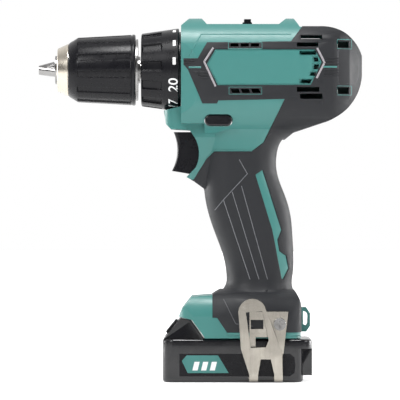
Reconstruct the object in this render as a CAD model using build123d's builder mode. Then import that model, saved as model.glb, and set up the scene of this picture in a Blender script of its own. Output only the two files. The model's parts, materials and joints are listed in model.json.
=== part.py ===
from build123d import *
import math
import os

# Cordless drill, in millimetres.  The nose points along -X, +Z is up and -Y is the drill's left side.
# The origin is the middle of the battery pack's base.

# ---------------------------------------------------------------- driving dimensions: housing
axis_z = 181.5  # height of the motor and spindle axis above the battery's base
motor_radius = 18.3
barrel_front = -32.6
barrel_rear = 72.5
barrel_half_width = motor_radius + 8.7
barrel_rise = barrel_half_width + 3.0  # top of the barrel above the axis
barrel_top = axis_z + barrel_rise
barrel_bottom = axis_z - 40.5
lever_bay_front = -17.7  # the flat on top of the barrel, in which the speed lever runs
lever_bay_rear = 24.3
lever_bay_z = barrel_top - 3.7
skin = 1.4  # thickness of the soft grip skin
wall = 3.0  # wall of the housing, grip skin included
chin_half_width = 15.0
chin_front = -42.7
guard_foot_half_width = 6.0  # the guard narrows towards its lower end
neck_z = 57.0  # the handle stretches between these two levels when the axis is raised
grip_top_z = 139.0
foot_front = -33.8
foot_rear = 36.9
foot_base_z = 25.5
rail_roof_z = 37.5  # top of the solid rails above the battery's slide
drawn_axis_z = 181.5  # the side outlines below are drawn for this axis height and this rise
drawn_rise = 30.0

# driving dimensions: fits
running_gap = 0.3  # between faces that move past each other
shaft_gap = 0.05  # radial clearance of a shaft in its bearing
slide_gap = 0.4  # battery pack to foot
seat_gap = 0.05  # between pieces that are pressed or clamped together

# driving dimensions: motor
motor_front = 8.0
motor_length = 50.0
can_wall = 1.4
magnet_thickness = 2.4
armature_radius = motor_radius - 4.4
shaft_radius = 1.6

# driving dimensions: gears
gear_module = 0.8
sun_teeth = 15
planet_teeth = 12
ring_teeth = 39
planet_count = 3
planet_width = 6.0
ring_gear_radius = 18.0
stage_fronts = {"first": -6.0, "second": -16.6, "third": -27.2}  # front face of each stage's planets
carrier_thickness = 2.4
shift_travel = 4.6

# driving dimensions: gear case, spindle and clutch
case_radius = 20.4
case_front = -32.0
nose_radius = 13.4
nose_front = -53.5
spindle_radius = 5.0
spindle_thread_radius = 6.2
spindle_front = -72.0
spring_wire = 2.2
spring_radius = 15.6

# driving dimensions: chuck
chuck_rear = -57.8
sleeve_front = -98.1
sleeve_rear = -59.3
nose_ring_front = -104.8
nose_ring_rear = -98.4
collar_front = -106.2
collar_radius = 8.3
core_radius = 13.4
jaw_tip = -115.8
jaw_length = 32.0
jaw_radius = 3.0
jaw_angle = 15.0  # slope of each jaw's bore to the axis
jaw_tip_radius = 2.4  # the three closed jaws together, at the tip
jaw_axis_at_tip = jaw_tip_radius - jaw_radius  # radial place of a jaw's own axis at its tip
jaw_travel = 19.0

# driving dimensions: controls
trigger_half_width = 8.2
trigger_travel = 7.0
lever_z = axis_z - 29.8
lever_x = -10.9
lever_length = 15.7
lever_height = 6.1
lever_reach = barrel_half_width - 2.8  # half length of the reversing lever across the handle
trigger_low_z = axis_z - 60.8
trigger_top_z = axis_z - 36.4
trigger_middle_z = axis_z - 48.5
lamp_low_z = axis_z - 30.7
lamp_top_z = axis_z - 25.3
lamp_half_width = 4.5
speed_lever_x = 6.0

# driving dimensions: battery pack
battery_front = -43.3
battery_rear = 43.3
battery_half_width = 29.3
foot_half_width = battery_half_width + 0.6
battery_split_z = 19.5
battery_top_z = 25.0
cell_radius = 9.2
cell_length = 65.0
tongue_front = -17.0
tongue_rear = 34.5
tongue_neck = 13.0
tongue_flange = 17.0
tongue_flange_z = 29.5
tongue_top_z = 33.5

# driving dimensions: belt clip and screws
clip_thickness = 1.5
belt_gap = 5.0
clip_screw_x = 24.5
clip_screw_z = 33.8
clip_screw_radius = 2.0  # M4
clip_thread_depth = 9.0
housing_screw_radius = 1.4
housing_screw_head = 2.8

os.makedirs("parts", exist_ok=True)

spindle_axis = Axis((0, 0, axis_z), (1, 0, 0))
lathe_plane = Plane(origin=(0, 0, axis_z), x_dir=(1, 0, 0), z_dir=(0, -1, 0))
motor_rear = motor_front + motor_length
left_half = Box(400, 100, 400, align=(Align.CENTER, Align.MAX, Align.MIN), mode=Mode.PRIVATE)
right_half = Box(400, 100, 400, align=(Align.CENTER, Align.MIN, Align.MIN), mode=Mode.PRIVATE)


# ---------------------------------------------------------------- helpers
def level(z):
    """Height of a drawn level: the foot stays, the handle stretches, the barrel moves and grows."""
    above_axis = z - drawn_axis_z
    if above_axis > 0:
        return axis_z + above_axis * barrel_rise / drawn_rise
    share = min(max((z - neck_z) / (grip_top_z - neck_z), 0), 1)
    return z + share * (axis_z - drawn_axis_z)


def at(x, z):
    """A drawn side point, moved to its level."""
    return (x, level(z))


def outline(*points):
    """Draw a closed straight-sided outline in the sketch being built."""
    with BuildLine() as edge:
        Polyline(*points, close=True)
    make_face(edge.edges())


def turn(*points, mode=Mode.ADD):
    """Revolve an outline of (x, radius) points about the spindle axis."""
    with BuildSketch(lathe_plane) as profile:
        outline(*points)
    revolve(profile.sketch, axis=spindle_axis, mode=mode)


def tube(front, rear, outer, inner=0.0, mode=Mode.ADD):
    """A plain ring or disc about the spindle axis."""
    turn((front, inner), (rear, inner), (rear, outer), (front, outer), mode=mode)


def side_prism(points, near, far, mode=Mode.ADD):
    """Extrude a drawn side outline of (x, z) points across the drill, from y = near to y = far."""
    with BuildSketch(Plane.XZ.offset(-far)) as profile:
        outline(*[at(x, z) for x, z in points])
    extrude(profile.sketch, amount=far - near, mode=mode)


def block(x_range, y_range, z_range, mode=Mode.ADD):
    """A box between two corners."""
    middle = [(low + high) / 2 for low, high in (x_range, y_range, z_range)]
    size = [high - low for low, high in (x_range, y_range, z_range)]
    with Locations(tuple(middle)):
        Box(*size, mode=mode)


def cross_bore(x, z, radius, near, far, mode=Mode.ADD):
    """A round bar or hole across the drill, at a drawn side point."""
    with BuildSketch(Plane.XZ.offset(-far)) as profile:
        with Locations(at(x, z)):
            Circle(radius)
    extrude(profile.sketch, amount=far - near, mode=mode)


def write(piece, name):
    """Label a finished piece and write it as one STEP file."""
    piece.part.label = name
    export_step(piece.part, f"parts/{name}.step")


# ---------------------------------------------------------------- outer form
def barrel_form(inset):
    """The motor barrel: its side outline, cross section and plan, each drawn in by the inset."""
    front_half_width = barrel_half_width - 2
    with BuildPart() as barrel:
        with BuildSketch(Plane.XZ.offset(-50)):
            with BuildLine():
                Line(at(barrel_rear, 178), at(barrel_rear, 189.5))
                ThreePointArc(at(barrel_rear, 189.5), at(66.3, 199.2), at(48, 206.1))
                Polyline(
                    at(48, 206.1),
                    at(36.4, 206.1),
                    (32.9, barrel_top),
                    (28.7, barrel_top),
                    (lever_bay_rear, lever_bay_z),
                    (lever_bay_front, lever_bay_z),
                    (-20.7, barrel_top),
                    (-27.7, barrel_top),
                    at(barrel_front, 207),
                    at(barrel_front, 150),
                    at(-19, 150),
                    at(-19, 138),
                    at(24, 138),
                    at(33, 145.3),
                    at(50.6, 151.2),
                )
                ThreePointArc(at(50.6, 151.2), at(66.3, 161.8), at(barrel_rear, 178))
            make_face()
            if inset:
                offset(amount=-inset, kind=Kind.INTERSECTION, mode=Mode.REPLACE)
        extrude(amount=100)
        with BuildSketch(Plane.YZ.offset(-60)):
            with Locations((0, (barrel_top + barrel_bottom) / 2)):
                RectangleRounded(
                    2 * (barrel_half_width - inset),
                    barrel_top - barrel_bottom - 2 * inset,
                    barrel_half_width - 3 - inset,
                )
        extrude(amount=160, mode=Mode.INTERSECT)
        with BuildSketch(Plane.XY.offset(barrel_bottom - 21)):
            with BuildLine():
                Line((-24, barrel_half_width), (42, barrel_half_width))
                ThreePointArc((42, barrel_half_width), (62.5, 0.75 * barrel_half_width), (barrel_rear, 7))
                Line((barrel_rear, 7), (barrel_rear, -7))
                ThreePointArc((barrel_rear, -7), (62.5, -0.75 * barrel_half_width), (42, -barrel_half_width))
                Line((42, -barrel_half_width), (-24, -barrel_half_width))
                Line((-24, -barrel_half_width), (barrel_front, -front_half_width))
                Line((barrel_front, -front_half_width), (barrel_front, front_half_width))
                Line((barrel_front, front_half_width), (-24, barrel_half_width))
            make_face()
            if inset:
                offset(amount=-inset, kind=Kind.INTERSECTION, mode=Mode.REPLACE)
        extrude(amount=120, mode=Mode.INTERSECT)
    return barrel.part


def handle_form(inset):
    """The handle, a loft through rounded sections: height, front, back and half width."""
    sections = (
        (152, -19, 40, 19.5),
        (147, -19, 34.5, 18.6),
        (143, -19, 28.3, 17.8),
        (139, -19, 24.9, 17.4),
        (133, -19, 23.0, 17.1),
        (126, -19, 22.5, 17.0),
        (118, -19, 23.9, 17.0),
        (108, -18.4, 27.7, 17.0),
        (96, -15.8, 31.0, 17.0),
        (84, -11.6, 32.1, 17.0),
        (72, -7.4, 32.7, 16.8),
        (62, -5.8, 32.2, 17.0),
        (57, -6.0, 31.7, 17.6),
        (53.5, -7.8, 32.4, 18.8),
        (50.5, -12, 34.2, 21.0),
        (46, -20, 36.0, 24.0),
    )
    with BuildPart() as handle:
        for height, front, back, half_width in sections:
            with BuildSketch(Plane.XY.offset(level(height))):
                with Locations(((front + back) / 2, 0)):
                    RectangleRounded(
                        back - front - 2 * inset,
                        2 * (half_width - inset),
                        0.86 * (half_width - inset),
                    )
        loft()
    return handle.part


def chin_form(inset):
    """The lamp chin, the guard beside the trigger and its horn."""
    with BuildPart() as chin:
        with BuildSketch(Plane.XZ.offset(-50)):
            with BuildLine():
                Polyline(
                    at(-8, 112),
                    at(-8, 166),
                    at(-30, 166),
                    at(barrel_front, 160),
                    at(chin_front, 157.7),
                    at(-41.5, 150),
                    at(-38.5, 146.8),
                    at(-27.5, 146.2),
                    at(-24.2, 141),
                )
                ThreePointArc(at(-24.2, 141), at(-22.2, 132), at(-24.2, 124.3))
                Polyline(at(-24.2, 124.3), at(-29.5, 118.9), at(-25.3, 116.6), at(-19, 112), at(-8, 112))
            make_face()
            if inset:
                offset(amount=-inset, kind=Kind.INTERSECTION, mode=Mode.REPLACE)
        extrude(amount=100)
        with BuildSketch(Plane.XY.offset(level(100))):
            with Locations(((chin_front - 4) / 2, 0)):
                RectangleRounded(-4 - chin_front - 2 * inset, 2 * (chin_half_width - inset), 9 - inset)
        extrude(amount=80, mode=Mode.INTERSECT)
        with BuildSketch(Plane.YZ.offset(chin_front - 10)) as front_view:
            wide = chin_half_width - inset
            narrow = guard_foot_half_width - inset
            outline(
                at(-wide, 170), at(wide, 170), at(wide, 142),
                at(narrow, 110), at(-narrow, 110), at(-wide, 142),
            )
        extrude(front_view.sketch, amount=60, mode=Mode.INTERSECT)
    return chin.part


def foot_form(inset):
    """The foot that takes the battery pack."""
    with BuildPart() as foot:
        with BuildSketch(Plane.XZ.offset(-50)):
            with BuildLine():
                Polyline(
                    (-10, 53),
                    (-14.4, 50.3),
                    (-26.4, 49.4),
                    (-32.2, 42),
                    (foot_front, 37.9),
                    (-26.3, 36.2),
                    (-18.6, foot_base_z),
                    (foot_rear, foot_base_z),
                    (foot_rear, 43),
                )
                ThreePointArc((foot_rear, 43), (36.0, 47.5), (33, 53))
                Line((33, 53), (-10, 53))
            make_face()
            if inset:
                offset(amount=-inset, kind=Kind.INTERSECTION, mode=Mode.REPLACE)
        extrude(amount=100)
        with BuildSketch(Plane.YZ.offset(-60)):
            with BuildLine():
                half = foot_half_width - inset
                Polyline((-half, 20), (half, 20), (half, 38 - inset))
                ThreePointArc((half, 38 - inset), (half - 3.2, 46.5 - inset), (half - 13, 53 - inset))
                Line((half - 13, 53 - inset), (13 - half, 53 - inset))
                ThreePointArc((13 - half, 53 - inset), (3.2 - half, 46.5 - inset), (-half, 38 - inset))
                Line((-half, 38 - inset), (-half, 20))
            make_face()
        extrude(amount=120, mode=Mode.INTERSECT)
        with BuildSketch(Plane.XY):
            with Locations(((foot_front + foot_rear) / 2, 0)):
                RectangleRounded(foot_rear - foot_front - 2 * inset, 2 * (foot_half_width - inset), 9 - inset)
        extrude(amount=80, mode=Mode.INTERSECT)
    return foot.part


def drill_form(inset):
    """The whole outer form of the housing, drawn in by the inset."""
    with BuildPart() as form:
        add(barrel_form(inset))
        add(handle_form(inset))
        add(chin_form(inset))
        add(foot_form(inset))
    return form.part


# ---------------------------------------------------------------- housing halves and grips
grip_outline = (
    (-31.1, 184),
    (-31.1, 187.5),
    (-22.9, 187.5),
    (-17.5, 196.7),
    (31.1, 197.3),
    (37.7, 206),
    (40, 220),
    (90, 220),
    (90, 28.9),
    (-6, 28.9),
    (-11.7, 37.4),
    (-14.4, 37.5),
    (-14.4, 56),
    (-40, 70),
    (-40, 117.4),
    (-25.3, 117.4),
    (-17.8, 129.5),
    (-13.2, 133.7),
    (8.2, 133.7),
    (15.2, 138.9),
    (27.4, 164),
    (-11, 163.1),
    (-11.8, 161.4),
    (-20.2, 161.4),
    (-28.5, 181),
)
badge_outline = (
    (-17.6, 184.3),
    (-12.7, 192.6),
    (44.7, 192.6),
    (48.8, 185.2),
    (42.4, 172.1),
    (-11.3, 171.9),
)
stripe_outline = (
    (10.6, 120.2),
    (14.6, 123),
    (25.6, 88),
    (23.3, 82.3),
    (24.5, 75.7),
    (28.2, 73.2),
    (29.8, 65.8),
    (26.6, 59.7),
    (25.7, 59.7),
    (20.4, 88),
)
# each air vent is a slanted slot: front and rear at its foot, bottom, top and forward lean
front_vent_starts = (-3.9, 2.0, 7.9)
vents = [(start, start + 4.6, 194.2, 196.0, 0.0) for start in front_vent_starts]
vents += [(start + 1.0, start + 5.6, 167.4, 169.8, -1.0) for start in front_vent_starts]
vents += [
    (36.8, 49.1, 198.5, 200.8, 0.0),
    (34.5, 46.8, 194.2, 196.5, 0.0),
    (34.5, 47.4, 168.1, 170.9, 0.0),
    (36.3, 49.1, 164.0, 167.0, 0.0),
    (36.0, 45.6, 189.5, 191.8, 0.0),
    (44.5, 47.2, 185.5, 188.0, -0.6),
    (43.9, 46.8, 181.1, 184.0, 0.6),
    (41.8, 45.0, 177.2, 179.5, 0.8),
    (36.2, 42.3, 172.9, 175.4, 0.8),
    (57.6, 64.4, 193.9, 197.5, 0.0),
    (57.6, 64.4, 167.1, 170.8, 0.0),
]
# middles of the housing screws
boss_radius = 4.2
boss_under_motor_z = drawn_axis_z - motor_radius - boss_radius - 1.0
housing_screws_at = (
    (-24.2, 206.5),
    (30.8, 206.5),
    (66.0, 181.5),
    (34.0, boss_under_motor_z),
    (-29.0, 152.5),
    (25.5, 144.0),
    (-7.0, 98.0),
    (11.0, 62.0),
    (-21.0, 43.5),
    (30.5, 43.5),
)
screw_seat_y = 12.0  # the screw heads sit this far to the right of the split
screw_tip_y = -8.0
rib_thickness = 2.0
rib_fronts = {case_radius: -27.0, motor_radius: 22.0}
speed_slot = (speed_lever_x - 2.8 - shift_travel - slide_gap, speed_lever_x + 2.8 + slide_gap)

outer = drill_form(0)
skinned = drill_form(skin)
cavity = drill_form(wall)

with BuildPart() as hollow:
    add(cavity)
    block((-100, 100), (-40, 40), (0, rail_roof_z), mode=Mode.SUBTRACT)

with BuildPart() as ribs:
    for radius, rib_front in rib_fronts.items():
        block((rib_front, rib_front + rib_thickness), (-40, 40), (axis_z - 25.5, barrel_top))
    # web along the split behind the motor
    block((motor_rear + 1, barrel_rear), (-1.5, 1.5), (axis_z - 18, axis_z + 18))
    add(cavity, mode=Mode.INTERSECT)
    for radius, rib_front in rib_fronts.items():
        tube(rib_front - 1, rib_front + rib_thickness + 1, radius + seat_gap, mode=Mode.SUBTRACT)

with BuildPart() as bosses:
    for x, z in housing_screws_at:
        cross_bore(x, z, boss_radius, -40, 40)
    add(cavity, mode=Mode.INTERSECT)

with BuildPart() as grip_zone:
    side_prism(grip_outline, -40, 40)
    side_prism(badge_outline, -40, 40, mode=Mode.SUBTRACT)
    side_prism(stripe_outline, -40, 40, mode=Mode.SUBTRACT)

with BuildPart() as strap_loop:
    side_prism(((36, 28.6), (40.4, 28.6), (42.7, 32), (42.7, 39.4), (40.4, 42.9), (36, 42.9)), -4, 4)
    side_prism(((38.6, 33), (40.2, 32.2), (41.1, 33.6), (41.2, 38.4), (40.4, 40.1), (38.6, 40.6)), -5, 5,
               mode=Mode.SUBTRACT)

with BuildPart() as skin_shell:
    add(outer)
    add(skinned, mode=Mode.SUBTRACT)
    add(grip_zone.part, mode=Mode.INTERSECT)
    add(strap_loop.part, mode=Mode.SUBTRACT)

with BuildPart() as wall_cuts:
    # vents, on both sides
    for front, rear, low, high, lean in vents:
        slot = ((front, low), (rear, low), (rear + lean, high), (front + lean, high))
        for near, far in ((-34, -13), (13, 34)):
            side_prism(slot, near, far)
    # opening for the gear case
    tube(barrel_front - 1, case_front + 8, case_radius + seat_gap)
    # room for the torque ring above the chin
    turn((-58, 0), (barrel_front, 0), (barrel_front, 24.9), (-58, 22.4))
    # speed lever's slot
    block(speed_slot, (-5.9, 5.9), (lever_bay_z - 5.8, barrel_top + 8))
    # trigger's opening
    block((-34, -14), (-trigger_half_width - slide_gap, trigger_half_width + slide_gap),
          (trigger_low_z - slide_gap, trigger_top_z + slide_gap))
    # reversing lever's slot, right through
    with BuildSketch(Plane.XZ.offset(-40)):
        with Locations((lever_x, lever_z)):
            SlotOverall(lever_length + 2 * slide_gap, lever_height + 2 * slide_gap)
    extrude(amount=80)
    # lamp window
    block((-50, -37), (-lamp_half_width - seat_gap, lamp_half_width + seat_gap),
          (lamp_low_z - seat_gap, lamp_top_z + seat_gap))
    # slide for the battery pack, and the window for the terminal block above it
    block((-40, tongue_rear + 0.6), (-tongue_neck - slide_gap, tongue_neck + slide_gap),
          (20, tongue_flange_z))
    block((-40, tongue_rear + 0.6), (-tongue_flange - slide_gap, tongue_flange + slide_gap),
          (tongue_flange_z - slide_gap, tongue_top_z + slide_gap))
    block((1.6, 26.4), (-10.2, 10.2), (30, rail_roof_z + 1))
    # screw seats on the right, screw holes, and the threaded holes on both sides of the foot
    for x, z in housing_screws_at:
        cross_bore(x, z, housing_screw_head + 0.2, screw_seat_y, 40)
        cross_bore(x, z, housing_screw_radius + seat_gap, screw_tip_y - 1, screw_seat_y)
    for near, far in (
        (-foot_half_width - 1, clip_thread_depth - foot_half_width),
        (foot_half_width - clip_thread_depth, foot_half_width + 1),
    ):
        cross_bore(clip_screw_x, clip_screw_z, clip_screw_radius, near, far)

with BuildPart() as whole_housing:
    add(outer)
    add(hollow.part, mode=Mode.SUBTRACT)
    add(ribs.part)
    add(bosses.part)
    add(skin_shell.part, mode=Mode.SUBTRACT)
    add(strap_loop.part)
    add(wall_cuts.part, mode=Mode.SUBTRACT)

for side, half in (("left", left_half), ("right", right_half)):
    with BuildPart() as housing_half:
        add(whole_housing.part)
        add(half, mode=Mode.INTERSECT)
    write(housing_half, f"{side}_housing")
    with BuildPart() as grip_half:
        add(skin_shell.part)
        add(wall_cuts.part, mode=Mode.SUBTRACT)
        add(half, mode=Mode.INTERSECT)
    write(grip_half, f"{side}_grip")

with BuildPart() as housing_screws:
    for x, z in housing_screws_at:
        cross_bore(x, z, housing_screw_radius, screw_tip_y, screw_seat_y + 0.5)
        cross_bore(x, z, housing_screw_head, screw_seat_y + seat_gap, screw_seat_y + 2)
write(housing_screws, "housing_screws")


# ---------------------------------------------------------------- gearbox
pressure_angle = math.radians(25)
addendum = 0.75 * gear_module
dedendum = 1.05 * gear_module
tooth_share = 0.39  # share of the pitch that a tooth fills at the pitch circle
sun_radius = gear_module * sun_teeth / 2
planet_radius = gear_module * planet_teeth / 2
planet_orbit = sun_radius + planet_radius
pin_radius = 1.5
groove_radius = ring_gear_radius - 0.9
shift_ring_front = -15.1
shift_ring_rear = -7.5
fork_pin = (-12.5, -10.1)


def tooth_points(teeth, tip_side, phase=0.0):
    """Outline of a toothed circle; tip_side is 1 for outward teeth and -1 for inward ones."""
    pitch_radius = gear_module * teeth / 2
    half_tooth = tooth_share * math.pi * gear_module / 2
    tip = pitch_radius + tip_side * addendum
    root = pitch_radius - tip_side * dedendum
    half_tip = half_tooth - addendum * math.tan(pressure_angle)
    half_root = half_tooth + dedendum * math.tan(pressure_angle)
    points = []
    for tooth in range(teeth):
        middle = math.tau * tooth / teeth + math.radians(phase)
        for radius, offset_along in ((root, -half_root), (tip, -half_tip), (tip, half_tip), (root, half_root)):
            turned_by = middle + offset_along / radius
            points.append((radius * math.cos(turned_by), radius * math.sin(turned_by)))
    return points


def gear(teeth, front, rear, centre=0.0, phase=0.0, mode=Mode.ADD):
    """A spur gear along the spindle axis, its centre raised by the given amount, teeth turned by phase."""
    gear_plane = Plane(origin=(front, 0, axis_z + centre), x_dir=(0, 0, 1), z_dir=(1, 0, 0))
    with BuildSketch(gear_plane) as teeth_sketch:
        outline(*tooth_points(teeth, 1, phase))
    extrude(teeth_sketch.sketch, amount=rear - front, mode=mode)


def ring_gear(front, rear, outer_radius):
    """A ring gear, with inward teeth."""
    tube(front, rear, outer_radius)
    with BuildSketch(Plane(origin=(front, 0, axis_z), x_dir=(0, 0, 1), z_dir=(1, 0, 0))) as hole:
        outline(*tooth_points(ring_teeth, -1))
    extrude(hole.sketch, amount=rear - front, mode=Mode.SUBTRACT)


def carrier(stage):
    """A planet carrier: a disc in front of the planets, with a pin through each."""
    front = stage_fronts[stage]
    disc_rear = front - running_gap
    tube(disc_rear - carrier_thickness, disc_rear, planet_orbit + pin_radius + 0.7)
    for planet in range(planet_count):
        angle = math.tau * planet / planet_count
        across = Plane(
            origin=(disc_rear, -planet_orbit * math.sin(angle), axis_z + planet_orbit * math.cos(angle)),
            z_dir=(1, 0, 0),
        )
        with BuildSketch(across) as pin:
            Circle(pin_radius)
        extrude(pin.sketch, amount=planet_width)


for stage, front in stage_fronts.items():
    half_pitch = 180 / planet_teeth
    for planet, letter in enumerate("abc"):
        with BuildPart() as upright_planet:
            gear(planet_teeth, front, front + planet_width, centre=planet_orbit, phase=half_pitch)
            with BuildSketch(Plane(origin=(front, 0, axis_z + planet_orbit), z_dir=(1, 0, 0))):
                Circle(pin_radius + shaft_gap)
            extrude(amount=planet_width, mode=Mode.SUBTRACT)
        with BuildPart() as planet_gear:
            add(upright_planet.part.rotate(spindle_axis, 360 * planet / planet_count))
        write(planet_gear, f"planet_{stage}_{letter}")

with BuildPart() as ring_gears:
    ring_gear(shift_ring_rear + 0.7, motor_front - 7.3, ring_gear_radius)
    ring_gear(stage_fronts["third"] - 0.8, shift_ring_front - shift_travel - 0.7, ring_gear_radius)
write(ring_gears, "ring_gears")

with BuildPart() as shifting_ring_gear:
    ring_gear(shift_ring_front, shift_ring_rear, ring_gear_radius - running_gap)
    tube(fork_pin[0] - 0.3, fork_pin[1] + 0.3, ring_gear_radius + 1, groove_radius, mode=Mode.SUBTRACT)
write(shifting_ring_gear, "shifting_ring_gear")

with BuildPart() as carrier_first:
    carrier("first")
    gear(sun_teeth, stage_fronts["second"], stage_fronts["first"] - running_gap)
write(carrier_first, "carrier_first")

with BuildPart() as carrier_second:
    carrier("second")
    gear(sun_teeth, stage_fronts["third"], stage_fronts["second"] - running_gap)
write(carrier_second, "carrier_second")

with BuildPart() as motor_pinion:
    gear(sun_teeth, stage_fronts["first"] - running_gap / 2, motor_front - 7.6)
    tube(stage_fronts["first"] - 1, motor_front, shaft_radius, mode=Mode.SUBTRACT)
write(motor_pinion, "motor_pinion")

bearing_length = 6.0
bearing_radius = 9.5
chuck_screw_radius = 2.5
with BuildPart() as gear_case:
    tube(case_front, motor_front - running_gap, case_radius, ring_gear_radius + seat_gap)
    tube(case_front, case_front + 1.8, case_radius, bearing_radius + seat_gap)
    tube(nose_front, case_front, nose_radius, bearing_radius + seat_gap)
    # slot for the shift fork's pin
    block((fork_pin[0] - shift_travel - 0.5, fork_pin[1] + 0.5), (-2, 2), (axis_z + 15, barrel_top),
          mode=Mode.SUBTRACT)
write(gear_case, "gear_case")

with BuildPart() as spindle_bearings:
    for front in (nose_front + 0.3, case_front + 0.8 - bearing_length):
        tube(front, front + bearing_length, bearing_radius, spindle_radius + shaft_gap)
write(spindle_bearings, "spindle_bearings")

with BuildPart() as spindle:
    carrier("third")
    disc_front = stage_fronts["third"] - running_gap - carrier_thickness
    tube(chuck_rear, disc_front, spindle_radius)
    tube(spindle_front, chuck_rear, spindle_thread_radius)
    tube(spindle_front - 1, chuck_rear - 2, chuck_screw_radius + seat_gap, mode=Mode.SUBTRACT)
write(spindle, "spindle")

coil_pitch = 3.5
spring_front = nose_front + 3.0
with BuildPart() as clutch_spring:
    spring_length = case_front - 0.4 - spring_front - spring_wire
    with BuildLine() as coil:
        Helix(coil_pitch, spring_length, spring_radius, center=(0, 0, 0), direction=(1, 0, 0))
    start_plane = Plane(origin=coil.line @ 0, z_dir=coil.line % 0)
    with BuildSketch(start_plane) as wire:
        Circle(spring_wire / 2)
    sweep(wire.sketch, path=coil.line, is_frenet=True)
with BuildPart() as placed_spring:
    add(clutch_spring.part.moved(Location((spring_front + spring_wire / 2, 0, axis_z))))
write(placed_spring, "clutch_spring")

# ---------------------------------------------------------------- torque ring
torque_front = -55.9
torque_rear = -32.8
torque_bore = 17.4
notch_count = 12
notch_first = 4.5  # degrees above the left side
notch_width = 6.6
notch_depth = 1.5
with BuildPart() as torque_ring:
    turn(
        (torque_front, 9.2),
        (nose_front - 0.6, 9.2),
        (nose_front - 0.6, nose_radius + running_gap),
        (spring_front - 0.3, nose_radius + running_gap),
        (spring_front - 0.3, torque_bore),
        (torque_rear, torque_bore),
        (torque_rear, 22.3),
        (torque_rear - 1.1, 22.3),
        (torque_rear - 1.1, 24.3),
        (torque_front, 21.2),
    )
    floor_radius = 21.2 - notch_depth
    with BuildSketch(lathe_plane) as notch_side:
        outline(
            (torque_front - 1, floor_radius),
            (torque_front + 10.6, floor_radius + 1.0),
            (torque_front + 12.6, floor_radius + 3.6),
            (torque_front + 12.6, 30),
            (torque_front - 1, 30),
        )
    notch_tool = extrude(notch_side.sketch, amount=notch_width / 2, both=True, mode=Mode.PRIVATE)
    for notch in range(notch_count):
        turned_by = 360 * notch / notch_count + notch_first
        add(notch_tool.rotate(spindle_axis, 90 - turned_by), mode=Mode.SUBTRACT)
write(torque_ring, "torque_ring")

# ---------------------------------------------------------------- chuck
nut_front = -84.2
nut_rear = -77.7
nut_radius = 16.5
jaw_count = 3
jaw_gap = 0.1
jaw_plane = Plane(
    origin=(jaw_tip, 0, axis_z + jaw_axis_at_tip),
    x_dir=(0, 1, 0),
    z_dir=(math.cos(math.radians(jaw_angle)), 0, math.sin(math.radians(jaw_angle))),
)
with BuildPart() as chuck_body:
    turn(
        (collar_front, 0),
        (chuck_rear + 1.3, 0),
        (chuck_rear + 1.3, 7.9),
        (chuck_rear, 7.9),
        (chuck_rear, 18.0),
        (sleeve_rear + running_gap, 18.0),
        (sleeve_rear + running_gap, core_radius),
        (nose_ring_rear + seat_gap, core_radius),
        (nose_ring_rear + seat_gap, 11.0),
        (nose_ring_front - seat_gap, 11.0),
        (nose_ring_front - seat_gap, collar_radius),
        (collar_front, collar_radius),
    )
    tube(collar_front - 1, -78, 5.2, mode=Mode.SUBTRACT)
    tube(-78, spindle_front - seat_gap, 4.6, mode=Mode.SUBTRACT)
    tube(spindle_front - seat_gap, chuck_rear, spindle_thread_radius + seat_gap, mode=Mode.SUBTRACT)
    tube(chuck_rear - 1, chuck_rear + 3, spindle_radius + 1.4, mode=Mode.SUBTRACT)
    with BuildSketch(jaw_plane) as bore:
        Circle(jaw_radius + jaw_gap)
    bore_tool = extrude(bore.sketch, amount=jaw_length + jaw_travel + 2, mode=Mode.PRIVATE)
    for jaw in range(jaw_count):
        add(bore_tool.rotate(spindle_axis, 360 * jaw / jaw_count), mode=Mode.SUBTRACT)
write(chuck_body, "chuck_body")

for jaw, letter in enumerate("abc"):
    with BuildPart() as upright_jaw:
        with BuildSketch(jaw_plane) as jaw_section:
            Circle(jaw_radius)
        extrude(jaw_section.sketch, amount=jaw_length)
        extrude(jaw_section.sketch, amount=-2)
        # the three gripping faces meet on the spindle axis, and the tip is flat
        wedge_reach = 12.0
        with BuildSketch(Plane(origin=(jaw_tip, 0, axis_z + 0.07), z_dir=(1, 0, 0), x_dir=(0, 1, 0))) as wedge:
            outline((0, 0), (wedge_reach * math.sqrt(3), wedge_reach), (wedge_reach * math.sqrt(3), 40),
                    (-wedge_reach * math.sqrt(3), 40), (-wedge_reach * math.sqrt(3), wedge_reach))
        extrude(wedge.sketch, amount=jaw_length + 5, mode=Mode.INTERSECT)
    with BuildPart() as chuck_jaw:
        add(upright_jaw.part.rotate(spindle_axis, 360 * jaw / jaw_count))
    write(chuck_jaw, f"jaw_{letter}")

with BuildPart() as chuck_nose_ring:
    turn((nose_ring_front, 11 + seat_gap), (nose_ring_rear, 11 + seat_gap), (nose_ring_rear, 15.4),
         (nose_ring_front, 12.5))
write(chuck_nose_ring, "chuck_nose_ring")

with BuildPart() as chuck_sleeve:
    turn(
        (sleeve_front, core_radius + running_gap),
        (nut_front - seat_gap, core_radius + running_gap),
        (nut_front - seat_gap, nut_radius + seat_gap),
        (sleeve_rear, nut_radius + seat_gap),
        (sleeve_rear, 20.8),
        (-93, 18.7),
        (sleeve_front, 15.7),
    )
write(chuck_sleeve, "chuck_sleeve")

with BuildPart() as chuck_nut:
    tube(nut_front, nut_rear, nut_radius, core_radius + running_gap)
write(chuck_nut, "chuck_nut")

with BuildPart() as chuck_screw:
    tube(spindle_front - 3.6, spindle_front - seat_gap, 4.2)
    tube(spindle_front - seat_gap, chuck_rear - 3, chuck_screw_radius)
    for half_width, half_height in ((0.5, 3), (3, 0.5)):
        block((spindle_front - 4, spindle_front - 2.4), (-half_width, half_width),
              (axis_z - half_height, axis_z + half_height), mode=Mode.SUBTRACT)
write(chuck_screw, "chuck_screw")

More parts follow.
